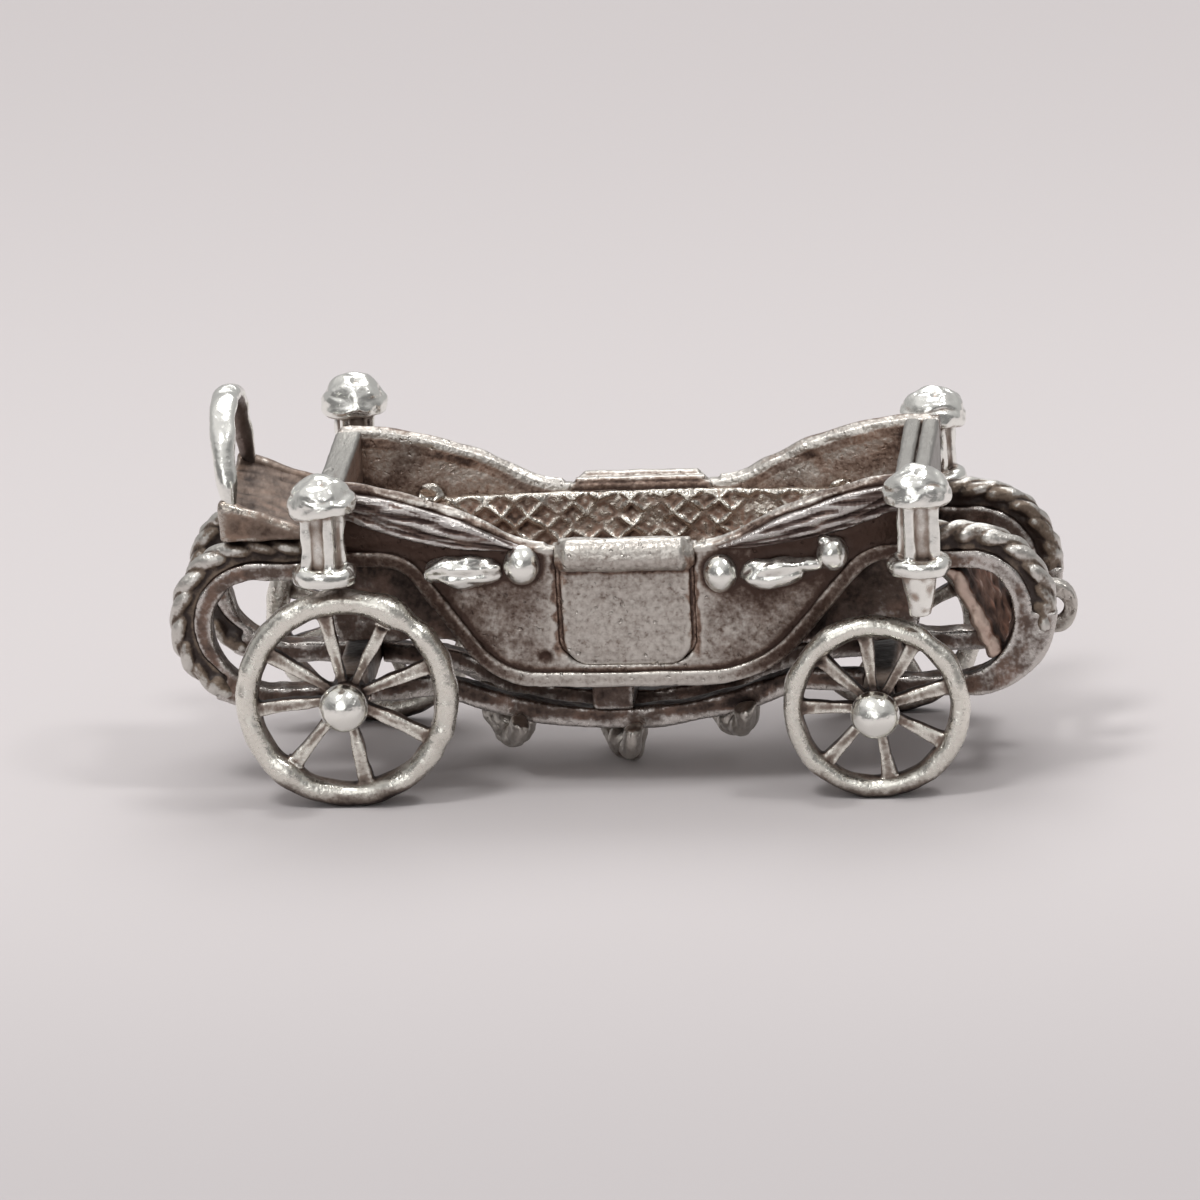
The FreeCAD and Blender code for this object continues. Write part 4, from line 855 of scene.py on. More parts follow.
@dataclass
class Wheels:
    """The four spoked wheels. Sizes are in millimetres here and below, and angles in degrees.

    A dent is an angle round the rim, its spread and its height.
    """

    spoke_root: Pair = (0.48, 0.27)
    spoke_foot: float = 0.5
    spoke_depth: float = 0.42
    bore: float = 0.36
    hub: float = 0.62
    far_lean: float = 13.0
    corner: float = 2.4
    rim_points: int = 24
    bent: tuple[Triple, ...] = ((62, 9, 0.10), (48, 6, -0.08), (-128, 10, 0.08))
    slightly_bent: tuple[Triple, ...] = ((-40, 12, 0.05), (120, 9, 0.05))
    softness: Softness = Softness(voxel=0.05, rounds=5, swell=0.01, ripple=0.024, ripple_size=1.0)
    rim_depth: dict[End, float] = field(default_factory=lambda: {End.REAR: 0.78, End.FRONT: 0.66})
    rim_width: dict[End, float] = field(default_factory=lambda: {End.REAR: 1.0, End.FRONT: 0.9})
    angles: dict[End, tuple[float, ...]] = field(default_factory=lambda: {
        End.REAR: (102, 62, 21, -27, -80, -130, -174, 148),
        End.FRONT: (97, 58, 16, -29, -81, -133, 179, 137),
    })

    def build(self) -> None:
        """Cast all four."""
        for end, side in CORNERS:
            self.wheel(end, side)

    def wheel(self, end: End, side: Side) -> None:
        """Cast one wheel.

        Args:
            end: The wheel's end.
            side: The wheel's side.
        """
        node = f"wheel_{end.label}_{side.label}"
        box = Box.of(node)
        outside, half_hub, _ = (box.high - box.low) / 2
        upright = Matrix.Translation(Vector(box.middle)) @ Matrix.Rotation(math.radians(90), 4, "X")
        rough = Rough()
        rough.turned(self.rim_profile(outside, end), upright, steps=96)
        hub = [(self.bore, -half_hub), (self.hub, -half_hub), (self.hub, half_hub), (self.bore, half_hub)]
        rough.turned(hub, upright, steps=48)
        foot = outside - self.rim_depth[end] * 0.7
        lean = self.far_lean if side is Side.FAR else 0.0
        for angle in self.angles[end]:
            turn = Matrix.Rotation(math.radians(angle + lean), 4, "Z")
            rough.spoke(upright @ turn, self.spoke_root, (foot, self.spoke_foot), self.spoke_depth)
        dark_spokes = self.dark_spokes(box.middle, outside - self.rim_depth[end] * 1.05)

        def brown(points: Array, normals: Array) -> Array:
            """The spokes' stain, weaker than their grime."""
            return 0.6 * dark_spokes(points, normals)

        marks = self.bent if node == "wheel_rear_near" else self.slightly_bent
        dents = self.dents(box.middle, outside, marks)
        Casting((node,), Finish.RIM, self.softness, rough, dents, dark_spokes, brown).make()

    def dark_spokes(self, centre: Array, inner: float) -> Shaper:
        """The tarnish on the spokes, darkest on their flanks.

        Args:
            centre: The wheel's centre.
            inner: The rim's inner radius.

        Returns:
            The shaper that darkens them.
        """
        def shape(points: Array, normals: Array) -> Array:
            """Darken what lies inside the rim.

            Args:
                points: The piece's points.
                normals: Their normals.

            Returns:
                A number for each point.
            """
            radius = np.hypot(points[:, 0] - centre[0], points[:, 2] - centre[2])
            flank = 1 - np.abs(normals[:, 1])
            return rise(radius, inner + 0.2, inner - 0.1) * (0.3 + 0.6 * flank)

        return shape

    def rim_profile(self, outside: float, end: End) -> Profile:
        """A rim's section with round corners, a superellipse.

        Args:
            outside: The rim's outer radius.
            end: The wheel's end.

        Returns:
            The closed profile.
        """
        depth, width = self.rim_depth[end] / 2, self.rim_width[end] / 2
        profile = []
        for step in range(self.rim_points):
            angle = math.tau * step / self.rim_points
            x, y = math.cos(angle), math.sin(angle)
            square = (abs(x) ** self.corner + abs(y) ** self.corner) ** (-1 / self.corner)
            profile.append((outside - depth + depth * x * square, width * y * square))
        return profile

    def dents(self, centre: Array, outside: float, marks: tuple[Triple, ...]) -> Shaper:
        """The uneven rim: its flats and its dents.

        Args:
            centre: The wheel's centre.
            outside: The rim's outer radius.
            marks: The dents.

        Returns:
            The shaper that pushes the rim in and out.
        """
        def shape(points: Array, normals: Array) -> Array:
            """Push the rim at each mark.

            Args:
                points: The piece's points.
                normals: Their normals, not used.

            Returns:
                A number for each point.
            """
            x, z = points[:, 0] - centre[0], points[:, 2] - centre[2]
            angle = np.degrees(np.arctan2(z, x))
            on_rim = np.hypot(x, z) > outside * 0.75
            relief = np.zeros(len(points))
            for middle, spread, height in marks:
                gap = (angle - middle + 180) % 360 - 180
                relief += height * np.exp(-(gap / spread) ** 2)
            return relief * on_rim

        return shape


@dataclass
class Gear:
    """Axles, perch, hanging loops, draught bar and towing eye."""

    loop_growth: tuple[float, ...] = (0.85, 1.9, 1.0, 1.0)
    loop_shift: Triple = (0.0, 0.0, 0.16)
    knot_place: Triple = (-0.05, -0.12, -0.08)
    knot_radii: Triple = (0.38, 0.5, 0.48)
    knot_tilt: float = 20.0
    axle_softness: Softness = Softness(voxel=0.055, rounds=4, swell=0.0, ripple=0.008)
    wire_softness: Softness = Softness(voxel=0.045, rounds=5, swell=0.09, ripple=0.04, ripple_size=0.6)
    rail_softness: Softness = Softness(voxel=0.055, rounds=12, swell=0.03, ripple=0.03, ripple_size=1.4)
    post_softness: Softness = Softness(voxel=0.05)
    eye_softness: Softness = Softness(voxel=0.045, rounds=6, swell=0.03, ripple=0.03)
    boot_softness: Softness = Softness(voxel=0.075, rounds=6, swell=0.0, ripple=0.05, ripple_size=1.6)

    def build(self) -> None:
        """Cast the running gear."""
        for end in End:
            self.axle(end)
            Casting((f"boot_{end.label}",), Finish.OXIDE, self.boot_softness).make()
        for side in Side:
            node = f"perch_rail_{side.label}"
            Casting((node,), Finish.OXIDE, self.rail_softness, grime=self.two_tone).make()
        Casting(("perch_post",), Finish.OXIDE, self.post_softness).make()
        for place in ("rear", "middle", "front"):
            self.loop(f"step_loop_{place}")
        Casting(("splinter_bar",), Finish.OXIDE, self.wire_softness).make()
        Casting(("towing_eye",), Finish.SATIN, self.eye_softness).make()

    def axle(self, end: End) -> None:
        """Cast a wire axle with a dirty bed.

        Args:
            end: The axle's end.
        """
        node = f"{end.label}_axle"
        half = Box.of(node).high[1]

        def bed(points: Array, normals: Array) -> Array:
            """Darken all but the wire's ends."""
            return rise(np.abs(points[:, 1]), half - 1.2, half - 1.6) * 0.8

        Casting((node,), Finish.POLISHED, self.axle_softness, grime=bed, brown=bed).make()

    def loop(self, node: str) -> None:
        """Cast a hanging loop, thicker than its wire and with a knot.

        Args:
            node: The loop's node.
        """
        middle = Vector(Box.of(node).middle)
        rough = Rough(node)
        rough.add_node(node, about(middle, Matrix.Diagonal(self.loop_growth), self.loop_shift))
        rough.ball(middle + Vector(self.knot_place), self.knot_radii, self.knot_tilt)
        Casting((node,), Finish.SATIN, self.wire_softness, rough, grime=self.worn_top).make()

    def two_tone(self, points: Array, normals: Array) -> Array:
        """A perch rail's painted shade and light: dark above, where the body shades it, and paler below, as
        if lit.

        Args:
            points: The piece's points.
            normals: Their normals, not used.

        Returns:
            A number for each point.
        """
        low, _ = span(points, 0.3)
        height = points[:, 2] - low + 0.12 * ripple(points * (0.4, 1.0, 1.0), 1.2, 43)
        # painted shade on the rail's upper part, painted light on its lower part
        return 0.3 * rise(height, 0.4, 0.7) - 0.36 * rise(height, 0.5, 0.25)

    def worn_top(self, points: Array, normals: Array) -> Array:
        """A paler loop, with a painted highlight on the faces that look up."""
        # painted highlight: faces that look up are made brighter
        return -0.55 - 0.2 * rise(normals[:, 2], 0.35, 0.85)


@dataclass(frozen=True)
class Bend:
    """A strand's middle line: straight from the body's wall, then round the back of its spring."""

    end: End
    centre: Array
    reach: float
    straight: float

    def away(self, turn: float) -> Array:
        """The direction away from the spring at a turn from upright, in radians."""
        return np.array((math.sin(turn) * self.end.value, 0.0, math.cos(turn)))

    def spot(self, along: float, lift: float) -> tuple[Array, Array]:
        """Follow the line.

        Args:
            along: How far from the wall.
            lift: How far off the line.

        Returns:
            The spot there, and the direction away from the spring.
        """
        away = self.away(max(along - self.straight, 0) / self.reach)
        spot = self.centre + away * (self.reach + lift)
        spot[0] -= max(self.straight - along, 0) * self.end.value
        return spot, away


@dataclass
class Springs:
    """The C-springs and the twisted strands on their backs, which taper to balls on the leaves."""

    strand_radius: float = 0.41
    slack: float = 0.09
    core: float = 0.25
    bed: float = 0.36
    bed_depth: float = 0.33
    lift: float = 0.1
    squash: float = 0.5
    lay: float = 2.6
    wires: int = 3
    steps: int = 18
    balls: int = 12
    ball_radius: float = 0.45
    sweep: dict[End, float] = field(default_factory=lambda: {End.REAR: 156.0, End.FRONT: 104.0})
    leaf_step: dict[End, float] = field(default_factory=lambda: {End.REAR: 150.0, End.FRONT: 92.0})
    leaf_softness: Softness = Softness(ripple=0.025, ripple_size=0.9)
    strand_softness: Softness = Softness(voxel=0.045, rounds=4, swell=0.02, ripple=0.03, ripple_size=0.7)

    def build(self) -> None:
        """Cast the springs and strands."""
        for end, side in CORNERS:
            rubbed = self.rubbed_bend if (end, side) == (End.FRONT, Side.NEAR) else None
            node = f"spring_{end.label}_{side.label}"
            Casting((node,), Finish.OXIDE, self.leaf_softness, grime=rubbed).make()
            self.strand(end, side)

    def rubbed_bend(self, points: Array, normals: Array) -> Array:
        """The near front leaf, worn bright round its bend."""
        return -0.22 * rise(points[:, 0], 10.8, 12.6)

    def bend(self, end: End, side: Side) -> Bend:
        """Find a strand's middle line from its own box and its leaf's.

        Args:
            end: The spring's end.
            side: The spring's side.

        Returns:
            The middle line.
        """
        box, leaf = (Box.of(f"{part}_{end.label}_{side.label}") for part in ("strand", "spring"))
        outer_x, inner_x = (box.high[0], box.low[0]) if end is End.FRONT else (box.low[0], box.high[0])
        centre_z = (leaf.low[2] + leaf.high[2] + self.strand_radius * 2) / 2
        reach = box.high[2] - centre_z - self.strand_radius
        centre_x = outer_x - end.value * (reach + self.strand_radius)
        return Bend(end, np.array((centre_x, leaf.middle[1], centre_z)), reach, abs(centre_x - inner_x))

    def wire_spot(self, bend: Bend, along: float, phase: float) -> Array:
        """Find a spot of one of a strand's wires.

        Args:
            bend: The strand's middle line.
            along: How far from the wall.
            phase: The wire's turn at the wall, in radians.

        Returns:
            The spot.
        """
        spot, away = bend.spot(along, self.lift)
        twist = math.tau * along / self.lay + phase
        offset = away * (math.cos(twist) * self.squash) + np.array((0.0, 1.0, 0.0)) * math.sin(twist)
        return spot + offset * (self.strand_radius + self.slack - self.core)

    def strand(self, end: End, side: Side) -> None:
        """Twist the wires round the strand's middle line, on a bed that joins them to the leaf.

        Args:
            end: The spring's end.
            side: The spring's side.
        """
        bend = self.bend(end, side)
        length = bend.straight + bend.reach * math.radians(self.sweep[end])
        count = round(length / self.lay * self.steps)
        places = [length * i / count for i in range(count + 1)]
        rough = Rough()
        for wire in range(self.wires):
            phase = math.tau * wire / self.wires
            rough.tube(np.array([self.wire_spot(bend, along, phase) for along in places]), self.core)
        sunk = [bend.spot(along, self.lift) for along in places]
        rough.tube(np.array([spot - away * self.bed_depth for spot, away in sunk]), self.bed)
        for step in range(self.balls):
            away = bend.away(math.radians(self.leaf_step[end] - 5 + 3 * step))
            radius = self.ball_radius - 0.025 * step
            spot = bend.centre + away * (bend.reach + 0.48 - radius - 0.012 * step)
            rough.ball(spot, (radius, radius + 0.08, radius))
        dirt = self.dirt(bend, side)
        node = f"strand_{end.label}_{side.label}"
        Casting((node,), Finish.ROPE, self.strand_softness, rough, grime=dirt, brown=dirt).make()

    def dirt(self, bend: Bend, side: Side) -> Shaper:
        """The dirt between a strand and its leaf, and painted shade on the far strands' near flanks.

        Args:
            bend: The strand's middle line.
            side: The spring's side.

        Returns:
            The shaper that darkens the strand and rubs its crown bright.
        """
        rubbed = 0.25 if bend.end is End.REAR else 0.08

        def shape(points: Array, normals: Array) -> Array:
            """Darken by the depth below the crown.

            Args:
                points: The piece's points.
                normals: Their normals.

            Returns:
                A number for each point.
            """
            x = points[:, 0] - bend.centre[0]
            past = np.where(x * bend.end.value > 0, x, 0.0)
            radius = np.hypot(past, points[:, 2] - bend.centre[2])
            # painted shade on the far strands' flanks that face the near side
            shaded = 0.55 * rise(-normals[:, 1], -0.3, 0.5) if side is Side.FAR else 0.18
            worn = rise(radius, bend.reach + 0.3, bend.reach + 0.5)
            deep = rise(radius, bend.reach + 0.15, bend.reach - 0.1)
            return 0.5 * deep + shaded * (1 - worn) - rubbed * worn

        return shape


@dataclass
class Lamps:
    """The four lanterns.

    The brim and the flange are rings: a radius, half a width and half a height. The places are measured
    down from the cap's top or up from the foot.
    """

    cap: float = 1.12
    height: float = 3.6
    shaft: float = 0.66
    turn: float = 18.0
    post: float = 0.2
    post_out: float = 0.56
    ring_points: int = 14
    brim: Triple = (0.84, 0.3, 0.27)
    brim_down: float = 0.98
    flange: Triple = (0.76, 0.32, 0.3)
    flange_up: float = 0.24
    lean: dict[tuple[End, Side], float] = field(default_factory=lambda: {
        (End.REAR, Side.NEAR): -11.0, (End.REAR, Side.FAR): -4.0,
        (End.FRONT, Side.NEAR): 4.0, (End.FRONT, Side.FAR): 11.0,
    })
    taller: dict[tuple[End, Side], float] = field(default_factory=lambda: {
        (End.REAR, Side.NEAR): 0.0, (End.REAR, Side.FAR): 0.4,
        (End.FRONT, Side.NEAR): 0.0, (End.FRONT, Side.FAR): -0.35,
    })
    softness: Softness = Softness(voxel=0.045, rounds=6, swell=0.015, ripple=0.022, ripple_size=0.8)

    def build(self) -> None:
        """Cast all four."""
        for end, side in CORNERS:
            self.lantern(end, side)

    def lantern(self, end: End, side: Side) -> None:
        """Cast one lantern, with a thick brim, round posts and a round flange.

        Args:
            end: The lantern's end.
            side: The lantern's side.
        """
        node = f"lamp_{end.label}_{side.label}"
        box = Box.of(node)
        x, top = box.middle[0], box.high[2]
        y = box.high[1] - self.cap if side is Side.FAR else box.low[1] + self.cap
        foot = top - self.height
        rough = Rough(node)
        lean = Matrix.Rotation(math.radians(self.lean[end, side]), 4, "Y")
        brim_place = Matrix.Translation((x, y, top - self.brim_down)) @ lean
        rough.turned(self.ring(*self.brim), brim_place, steps=40)
        rough.turned(self.ring(*self.flange), Matrix.Translation((x, y, foot + self.flange_up)), steps=40)
        turn = -self.turn * end.value * side.value
        for corner in range(4):
            angle = math.radians(45 + 90 * corner + turn)
            post_x, post_y = x + self.post_out * math.cos(angle), y + self.post_out * math.sin(angle)
            rough.tube(np.array(((post_x, post_y, foot + 0.2), (post_x, post_y, top - 1.1))), self.post)
        stretch = 1 + self.taller[end, side] / self.height
        for vert in rough.bm.verts:
            if vert.co.z > foot:
                vert.co.z = foot + (vert.co.z - foot) * stretch
        top = foot + self.height * stretch

        def sunk(points: Array, normals: Array) -> Array:
            """Darken the panels between the posts and the foot's tip, and paint shade on the undersides.

            Args:
                points: The piece's points.
                normals: Their normals.

            Returns:
                A number for each point.
            """
            radius = np.hypot(points[:, 0] - x, points[:, 1] - y)
            between = rise(points[:, 2], foot + 0.5, foot + 0.7) * rise(points[:, 2], top - 1.4, top - 1.7)
            # painted shade: faces that look down are darkened
            under = rise(-normals[:, 2], 0.2, 0.8)
            panel = rise(radius, self.shaft + 0.04, self.shaft - 0.1)
            tip = rise(points[:, 2], foot + 0.05, foot - 0.25) * (1 + 0.8 * ripple(points, 0.5, 48))
            return between * (0.45 * panel - 0.3) + 0.5 * under + 0.32 * tip

        def brown(points: Array, normals: Array) -> Array:
            """Stain what isn't bright, the painted shade on the undersides included."""
            return np.clip(sunk(points, normals) + 0.6, 0, 0.9)

        Casting((node,), Finish.POLISHED, self.softness, rough, self.dimples(x, y, top), sunk, brown).make()

    def dimples(self, x: float, y: float, top: float) -> Shaper:
        """The crease over a cap's brim, the dimple in its crown and its lumps.

        Args:
            x: The lantern's place along the carriage.
            y: Its place across it.
            top: Its height.

        Returns:
            The shaper that sinks and raises them.
        """
        def shape(points: Array, normals: Array) -> Array:
            """Shape the cap.

            Args:
                points: The piece's points.
                normals: Their normals, not used.

            Returns:
                A number for each point.
            """
            away = points - (x + 0.12, y - 0.42, top - 0.12)
            dimple = np.exp(-((away / (0.15, 0.3, 0.15)) ** 2).sum(axis=1))
            level = points[:, 2] - top + 0.62 + 0.1 * ripple(points, 1.2, 45)
            crease = np.exp(-(level / 0.09) ** 2) * (0.6 + 0.5 * ripple(points, 0.9, 46))
            lumps = ripple(points, 0.6, 47) * rise(points[:, 2], top - 1.4, top - 1.1)
            return 0.025 * lumps - 0.11 * dimple - 0.055 * crease

        return shape

    def ring(self, radius: float, half_width: float, half_height: float) -> Profile:
        """A ring's oval section.

        Args:
            radius: The section's middle from the axis.
            half_width: Half its width.
            half_height: Half its height.

        Returns:
            The closed profile.
        """
        angles = [math.tau * i / self.ring_points for i in range(self.ring_points)]
        return [(radius + half_width * math.cos(t), half_height * math.sin(t)) for t in angles]


@dataclass
class Tub:
    """The body's panels, doors, end walls, mouldings, hoods and irons.

    A lump of a hood's iron is an ellipsoid on the side panel: its X and Z, and its half width, height
    and depth. The bar is the lump that is hollowed like a leaf.
    """

    panel: Softness = Softness(voxel=0.065, rounds=5, swell=0.01, ripple=0.014, ripple_size=1.6)
    wall: Softness = Softness(voxel=0.05, rounds=12, swell=0.03, ripple=0.008, ripple_size=1.5)
    trim: Softness = Softness(voxel=0.05, rounds=4, swell=0.02, ripple=0.015)
    iron_softness: Softness = Softness(voxel=0.045, rounds=8, swell=0.03, ripple=0.012, ripple_size=0.8)
    rim: float = 0.19
    door_middle: float = 0.3
    door_grooves: Pair = (-1.93, 2.53)
    rail_groove: float = 7.66
    hood_copies: tuple[Pair, ...] = ((-0.06, 0.25), (-0.02, -0.12))
    hood_below_crest: float = 0.16
    folds: float = 2.4
    fold_height: float = 0.055
    opening: Pair = (-1.95, 2.6)
    pit: Pair = (-2.44, 4.68)
    lumps: dict[End, tuple[tuple[float, ...], ...]] = field(default_factory=lambda: {
        End.REAR: (
            (-5.05, 7.70, 1.30, 0.52, 0.44), (-5.85, 7.82, 0.42, 0.30, 0.34), (-4.9, 8.0, 0.50, 0.24, 0.34),
            (-4.2, 7.86, 0.40, 0.30, 0.34), (-3.09, 7.94, 0.56, 0.66, 0.58)),
        End.FRONT: (
            (3.47, 7.54, 0.54, 0.63, 0.56), (5.15, 7.48, 1.05, 0.48, 0.44), (4.8, 7.66, 0.50, 0.28, 0.32),
            (5.5, 7.74, 0.60, 0.28, 0.34), (6.3, 7.76, 0.66, 0.22, 0.24), (7.18, 8.11, 0.5, 0.57, 0.54),
            (6.95, 8.58, 0.24, 0.16, 0.2)),
    })
    bar: dict[End, int] = field(default_factory=lambda: {End.REAR: 0, End.FRONT: 1})

    def build(self) -> None:
        """Cast the body."""
        for side in Side:
            grime, brown = self.weather(side)
            moulding = f"moulding_{side.label}"
            ends = (f"{part}_{end.label}_{side.label}" for part in ("hood_iron", "hood") for end in End)
            Casting((f"side_panel_{side.label}",), Finish.SATIN, self.panel, self.rimmed(side),
                    self.creases(side), grime, brown, (moulding, *ends)).make()
            Casting((f"door_{side.label}",), Finish.SATIN, self.trim, self.door(side), grime=grime,
                    brown=brown, beside=(moulding,)).make()
            Casting((moulding,), Finish.SATIN, self.trim, grime=self.band).make()
            for end in End:
                self.hood(end, side)
                self.iron(end, side)
        for end in End:
            dark = self.dark_inside(end)
            node = f"{end.label}_wall"
            Casting((node,), Finish.PALE, self.wall, grime=dark, brown=dark, level=True).make()

    def hood(self, end: End, side: Side) -> None:
        """Cast a folded hood, thickened by copies of itself and cut off below the crest.

        Args:
            end: The hood's end.
            side: The body's side.
        """
        node = f"hood_{end.label}_{side.label}"
        rough = Rough(node)
        for outward, up in self.hood_copies:
            rough.add_node(node, Matrix.Translation((0.0, outward * side.value, up)))
        edge = self.crest(side)
        for vert in rough.bm.verts:
            crest = np.interp(vert.co.x, edge[:, 0], edge[:, 2])
            vert.co.z = min(vert.co.z, crest - self.hood_below_crest)
        Casting((node,), Finish.HOOD, self.trim, rough, self.pleats(side)).make()

    def off_door(self, points: Array) -> Array:
        """How far points lie from the door's middle along the carriage."""
        return np.abs(points[:, 0] - self.door_middle)

    def crest(self, side: Side) -> Array:
        """The top edge of a side, from its rear end to its front end.

        Args:
            side: The body's side.

        Returns:
            Points on the middle of the edge.
        """
        node = f"side_panel_{side.label}"
        box = Box.of(node)
        tree = surface(node)
        path = []
        for x in np.arange(box.low[0] + 0.15, box.high[0] - 0.1, 0.2):
            hits = []
            for y in np.linspace(box.low[1] + 0.02, box.high[1] - 0.02, 40):
                spot = tree.ray_cast(Vector((x, y, FAR_OFF)) * MM, Vector((0.0, 0.0, -1.0)))[0]
                if spot:
                    hits.append(tuple(np.array(spot) / MM))
            top = max(hit[2] for hit in hits)
            path.append(np.mean([hit for hit in hits if hit[2] > top - 0.03], axis=0))
        path = np.array([spot for spot in path if spot[0] < self.opening[0] or spot[0] > self.opening[1]])
        for _ in range(4):
            path[1:-1] = (path[:-2] + path[1:-1] * 2 + path[2:]) / 4
        return path

    def rimmed(self, side: Side) -> Rough:
        """A side panel with a round bead along its top edge, left open over the door.

        Args:
            side: The body's side.

        Returns:
            The rough shape.
        """
        rough = Rough(f"side_panel_{side.label}")
        path = self.crest(side)
        path[:, 2] -= self.rim * 0.4
        for part in (path[path[:, 0] < self.opening[0]], path[path[:, 0] > self.opening[1]]):
            rough.tube(part, self.rim)
        return rough

    def near_crest(self, side: Side) -> Callable[[Array], Array]:
        """How close points lie to a side's top edge.

        Args:
            side: The body's side.

        Returns:
            A function of points, 1 on the bead.
        """
        path = self.crest(side)

        def share(points: Array) -> Array:
            """1 on the bead, down to 0 below it."""
            top = np.interp(points[:, 0], path[:, 0], path[:, 2])
            return rise(points[:, 2] - top, -self.rim * 1.5, -self.rim)

        return share

    def creases(self, side: Side) -> Shaper:
        """The uneven bead, the creases below the hoods, the door's grooves and the pit.

        Args:
            side: The body's side.

        Returns:
            The shaper that raises them.
        """
        share = self.near_crest(side)

        def shape(points: Array, normals: Array) -> Array:
            """Shape the bead, the folds, the grooves and the pit.

            Args:
                points: The piece's points.
                normals: Their normals.

            Returns:
                A number for each point.
            """
            under = rise(points[:, 2], 7.7, 8.5) * rise(self.off_door(points), 2.5, 3.4)
            fold = ripple(points * (0.3, 1.0, 2.0), 0.8, 23)
            bead = 0.018 * ripple(points, 0.9, 22) * share(points)
            sunk = 0.05 * self.groove(points) + 0.1 * self.pitted(points, side, 0.17)
            return bead + (0.04 * fold * under - sunk) * facing(normals, side.value)

        return shape

    def pitted(self, points: Array, side: Side, size: float) -> Array:
        """How close points lie to the one deep pit, on the near side behind the door.

        Args:
            points: The points, in millimetres.
            side: The points' side.
            size: The pit's radius.

        Returns:
            1 in the pit, down to 0 round it.
        """
        if side is Side.FAR:
            return np.zeros(len(points))
        away = np.hypot((points[:, 0] - self.pit[0]) * 0.8, points[:, 2] - self.pit[1])
        return np.exp(-((away + 0.03 * ripple(points, 0.25, 26)) / size) ** 2)

    def dark_inside(self, end: End) -> Shaper:
        """The tarnish on an end wall's inner face.

        Args:
            end: The wall's end.

        Returns:
            The shaper that darkens it.
        """
        def shape(points: Array, normals: Array) -> Array:
            """Darken what faces the cabin."""
            return 0.6 * rise(-normals[:, 0] * end.value, 0.3, 0.8)

        return shape

    def band(self, points: Array, normals: Array) -> Array:
        """A belly moulding painted as lit in its middle and shaded towards its ends."""
        # painted light: darker towards the ends, lighter in the middle
        return 0.08 + 0.75 * rise(np.abs(points[:, 0] - 0.4), 2.6, 5.0)

    def door(self, side: Side) -> Rough:
        """A door with wider and taller copies behind it, so that its groove is shallow.

        Args:
            side: The door's side.

        Returns:
            The rough shape.
        """
        node = f"door_{side.label}"
        middle = Vector(Box.of(node).middle)
        rough = Rough(node)
        for growth, inward in (((1.09, 1.0, 1.0, 1.0), 0.13), ((0.99, 1.0, 1.09, 1.0), 0.035)):
            rough.add_node(node, about(middle, Matrix.Diagonal(growth), (0.0, -inward * side.value, 0.0)))
        return rough

    def weather(self, side: Side) -> tuple[Shaper, Shaper]:
        """The side's tarnish and painted light: painted shade under the hoods, a painted highlight on faces
        that look up, and brown inside.

        Args:
            side: The body's side.

        Returns:
            The shapers for the grime and the brown stain.
        """
        crest = self.near_crest(side)

        def grime(points: Array, normals: Array) -> Array:
            """Darken the side's outer and inner faces.

            Args:
                points: The piece's points.
                normals: Their normals.

            Returns:
                A number for each point.
            """
            z = points[:, 2]
            off_door = self.off_door(points)
            inner = rise(-normals[:, 1] * side.value, 0.2, 0.7)
            high = rise(z + 0.5 * ripple(points, 1.7, 3), 6.6, 8.4)
            # painted shade under the hoods, high on the panel away from the door
            painted_shade_below_hoods = 0.45 * rise(off_door, 2.2, 4.6) * high
            ends = 0.4 * rise(np.abs(points[:, 0]), 4.6, 8.0)
            over_door = rise(off_door, 2.5, 2.3)
            # the bead is worn bright, and faces that look up get a painted highlight
            bright = np.maximum(crest(points), rise(normals[:, 2], 0.5, 0.85)) * (1 - 0.75 * over_door)
            clouds = 1 + 0.35 * ripple(points, 1.4, 21) + 0.12 * ripple(points, 0.4, 24)
            panels = 0.52 - 0.1 * rise(z, 7.4, 4.6)
            patches = (0.05 + panels * rise(off_door, 2.0, 3.6)) * clouds
            spots = 1.1 * self.pitted(points, side, 0.22) + 0.14 * over_door * rise(z, 7.7, 7.9)
            streak = rise(np.abs(z - 9.6 + 0.5 * ripple(points, 2.0, 8)), 0.5, 0.1)
            below_bead = rise(crest(points + (0.0, 0.0, 0.32)), 0.1, 0.9)
            inside = -0.36 + 0.4 * streak + 0.45 * below_bead + 0.75 * over_door
            outside = ends + patches + 0.6 * self.groove(points)
            return painted_shade_below_hoods + outside * (1 - inner) + inside * inner + spots - 0.8 * bright

        def brown(points: Array, normals: Array) -> Array:
            """Stain the inner face and the grooves."""
            inner = rise(-normals[:, 1] * side.value, 0.2, 0.7)
            patchy = 0.7 + 0.3 * ripple(points, 1.5, 5)
            return 0.8 * inner * patchy + 0.8 * self.groove(points) * (1 - inner)

        return grime, brown

    def groove(self, points: Array) -> Array:
        """How close points lie to the uneven grooves beside a door and below its rail.

        Args:
            points: The points.

        Returns:
            1 in the groove, down to 0 beside it.
        """
        x, z = points[:, 0], points[:, 2]
        wobble = 0.07 * ripple(points, 0.6, 4)
        gap = np.minimum(*(np.abs(x - groove + wobble) for groove in self.door_grooves))
        beside = rise(gap, 0.23, 0.12) * rise(z, 4.4, 5.0) * rise(z, 8.4, 8.0)
        below_rail = rise(np.abs(z - self.rail_groove + wobble * 0.5), 0.13, 0.04)
        return np.maximum(beside, 0.7 * below_rail * rise(self.off_door(points), 2.25, 2.1))

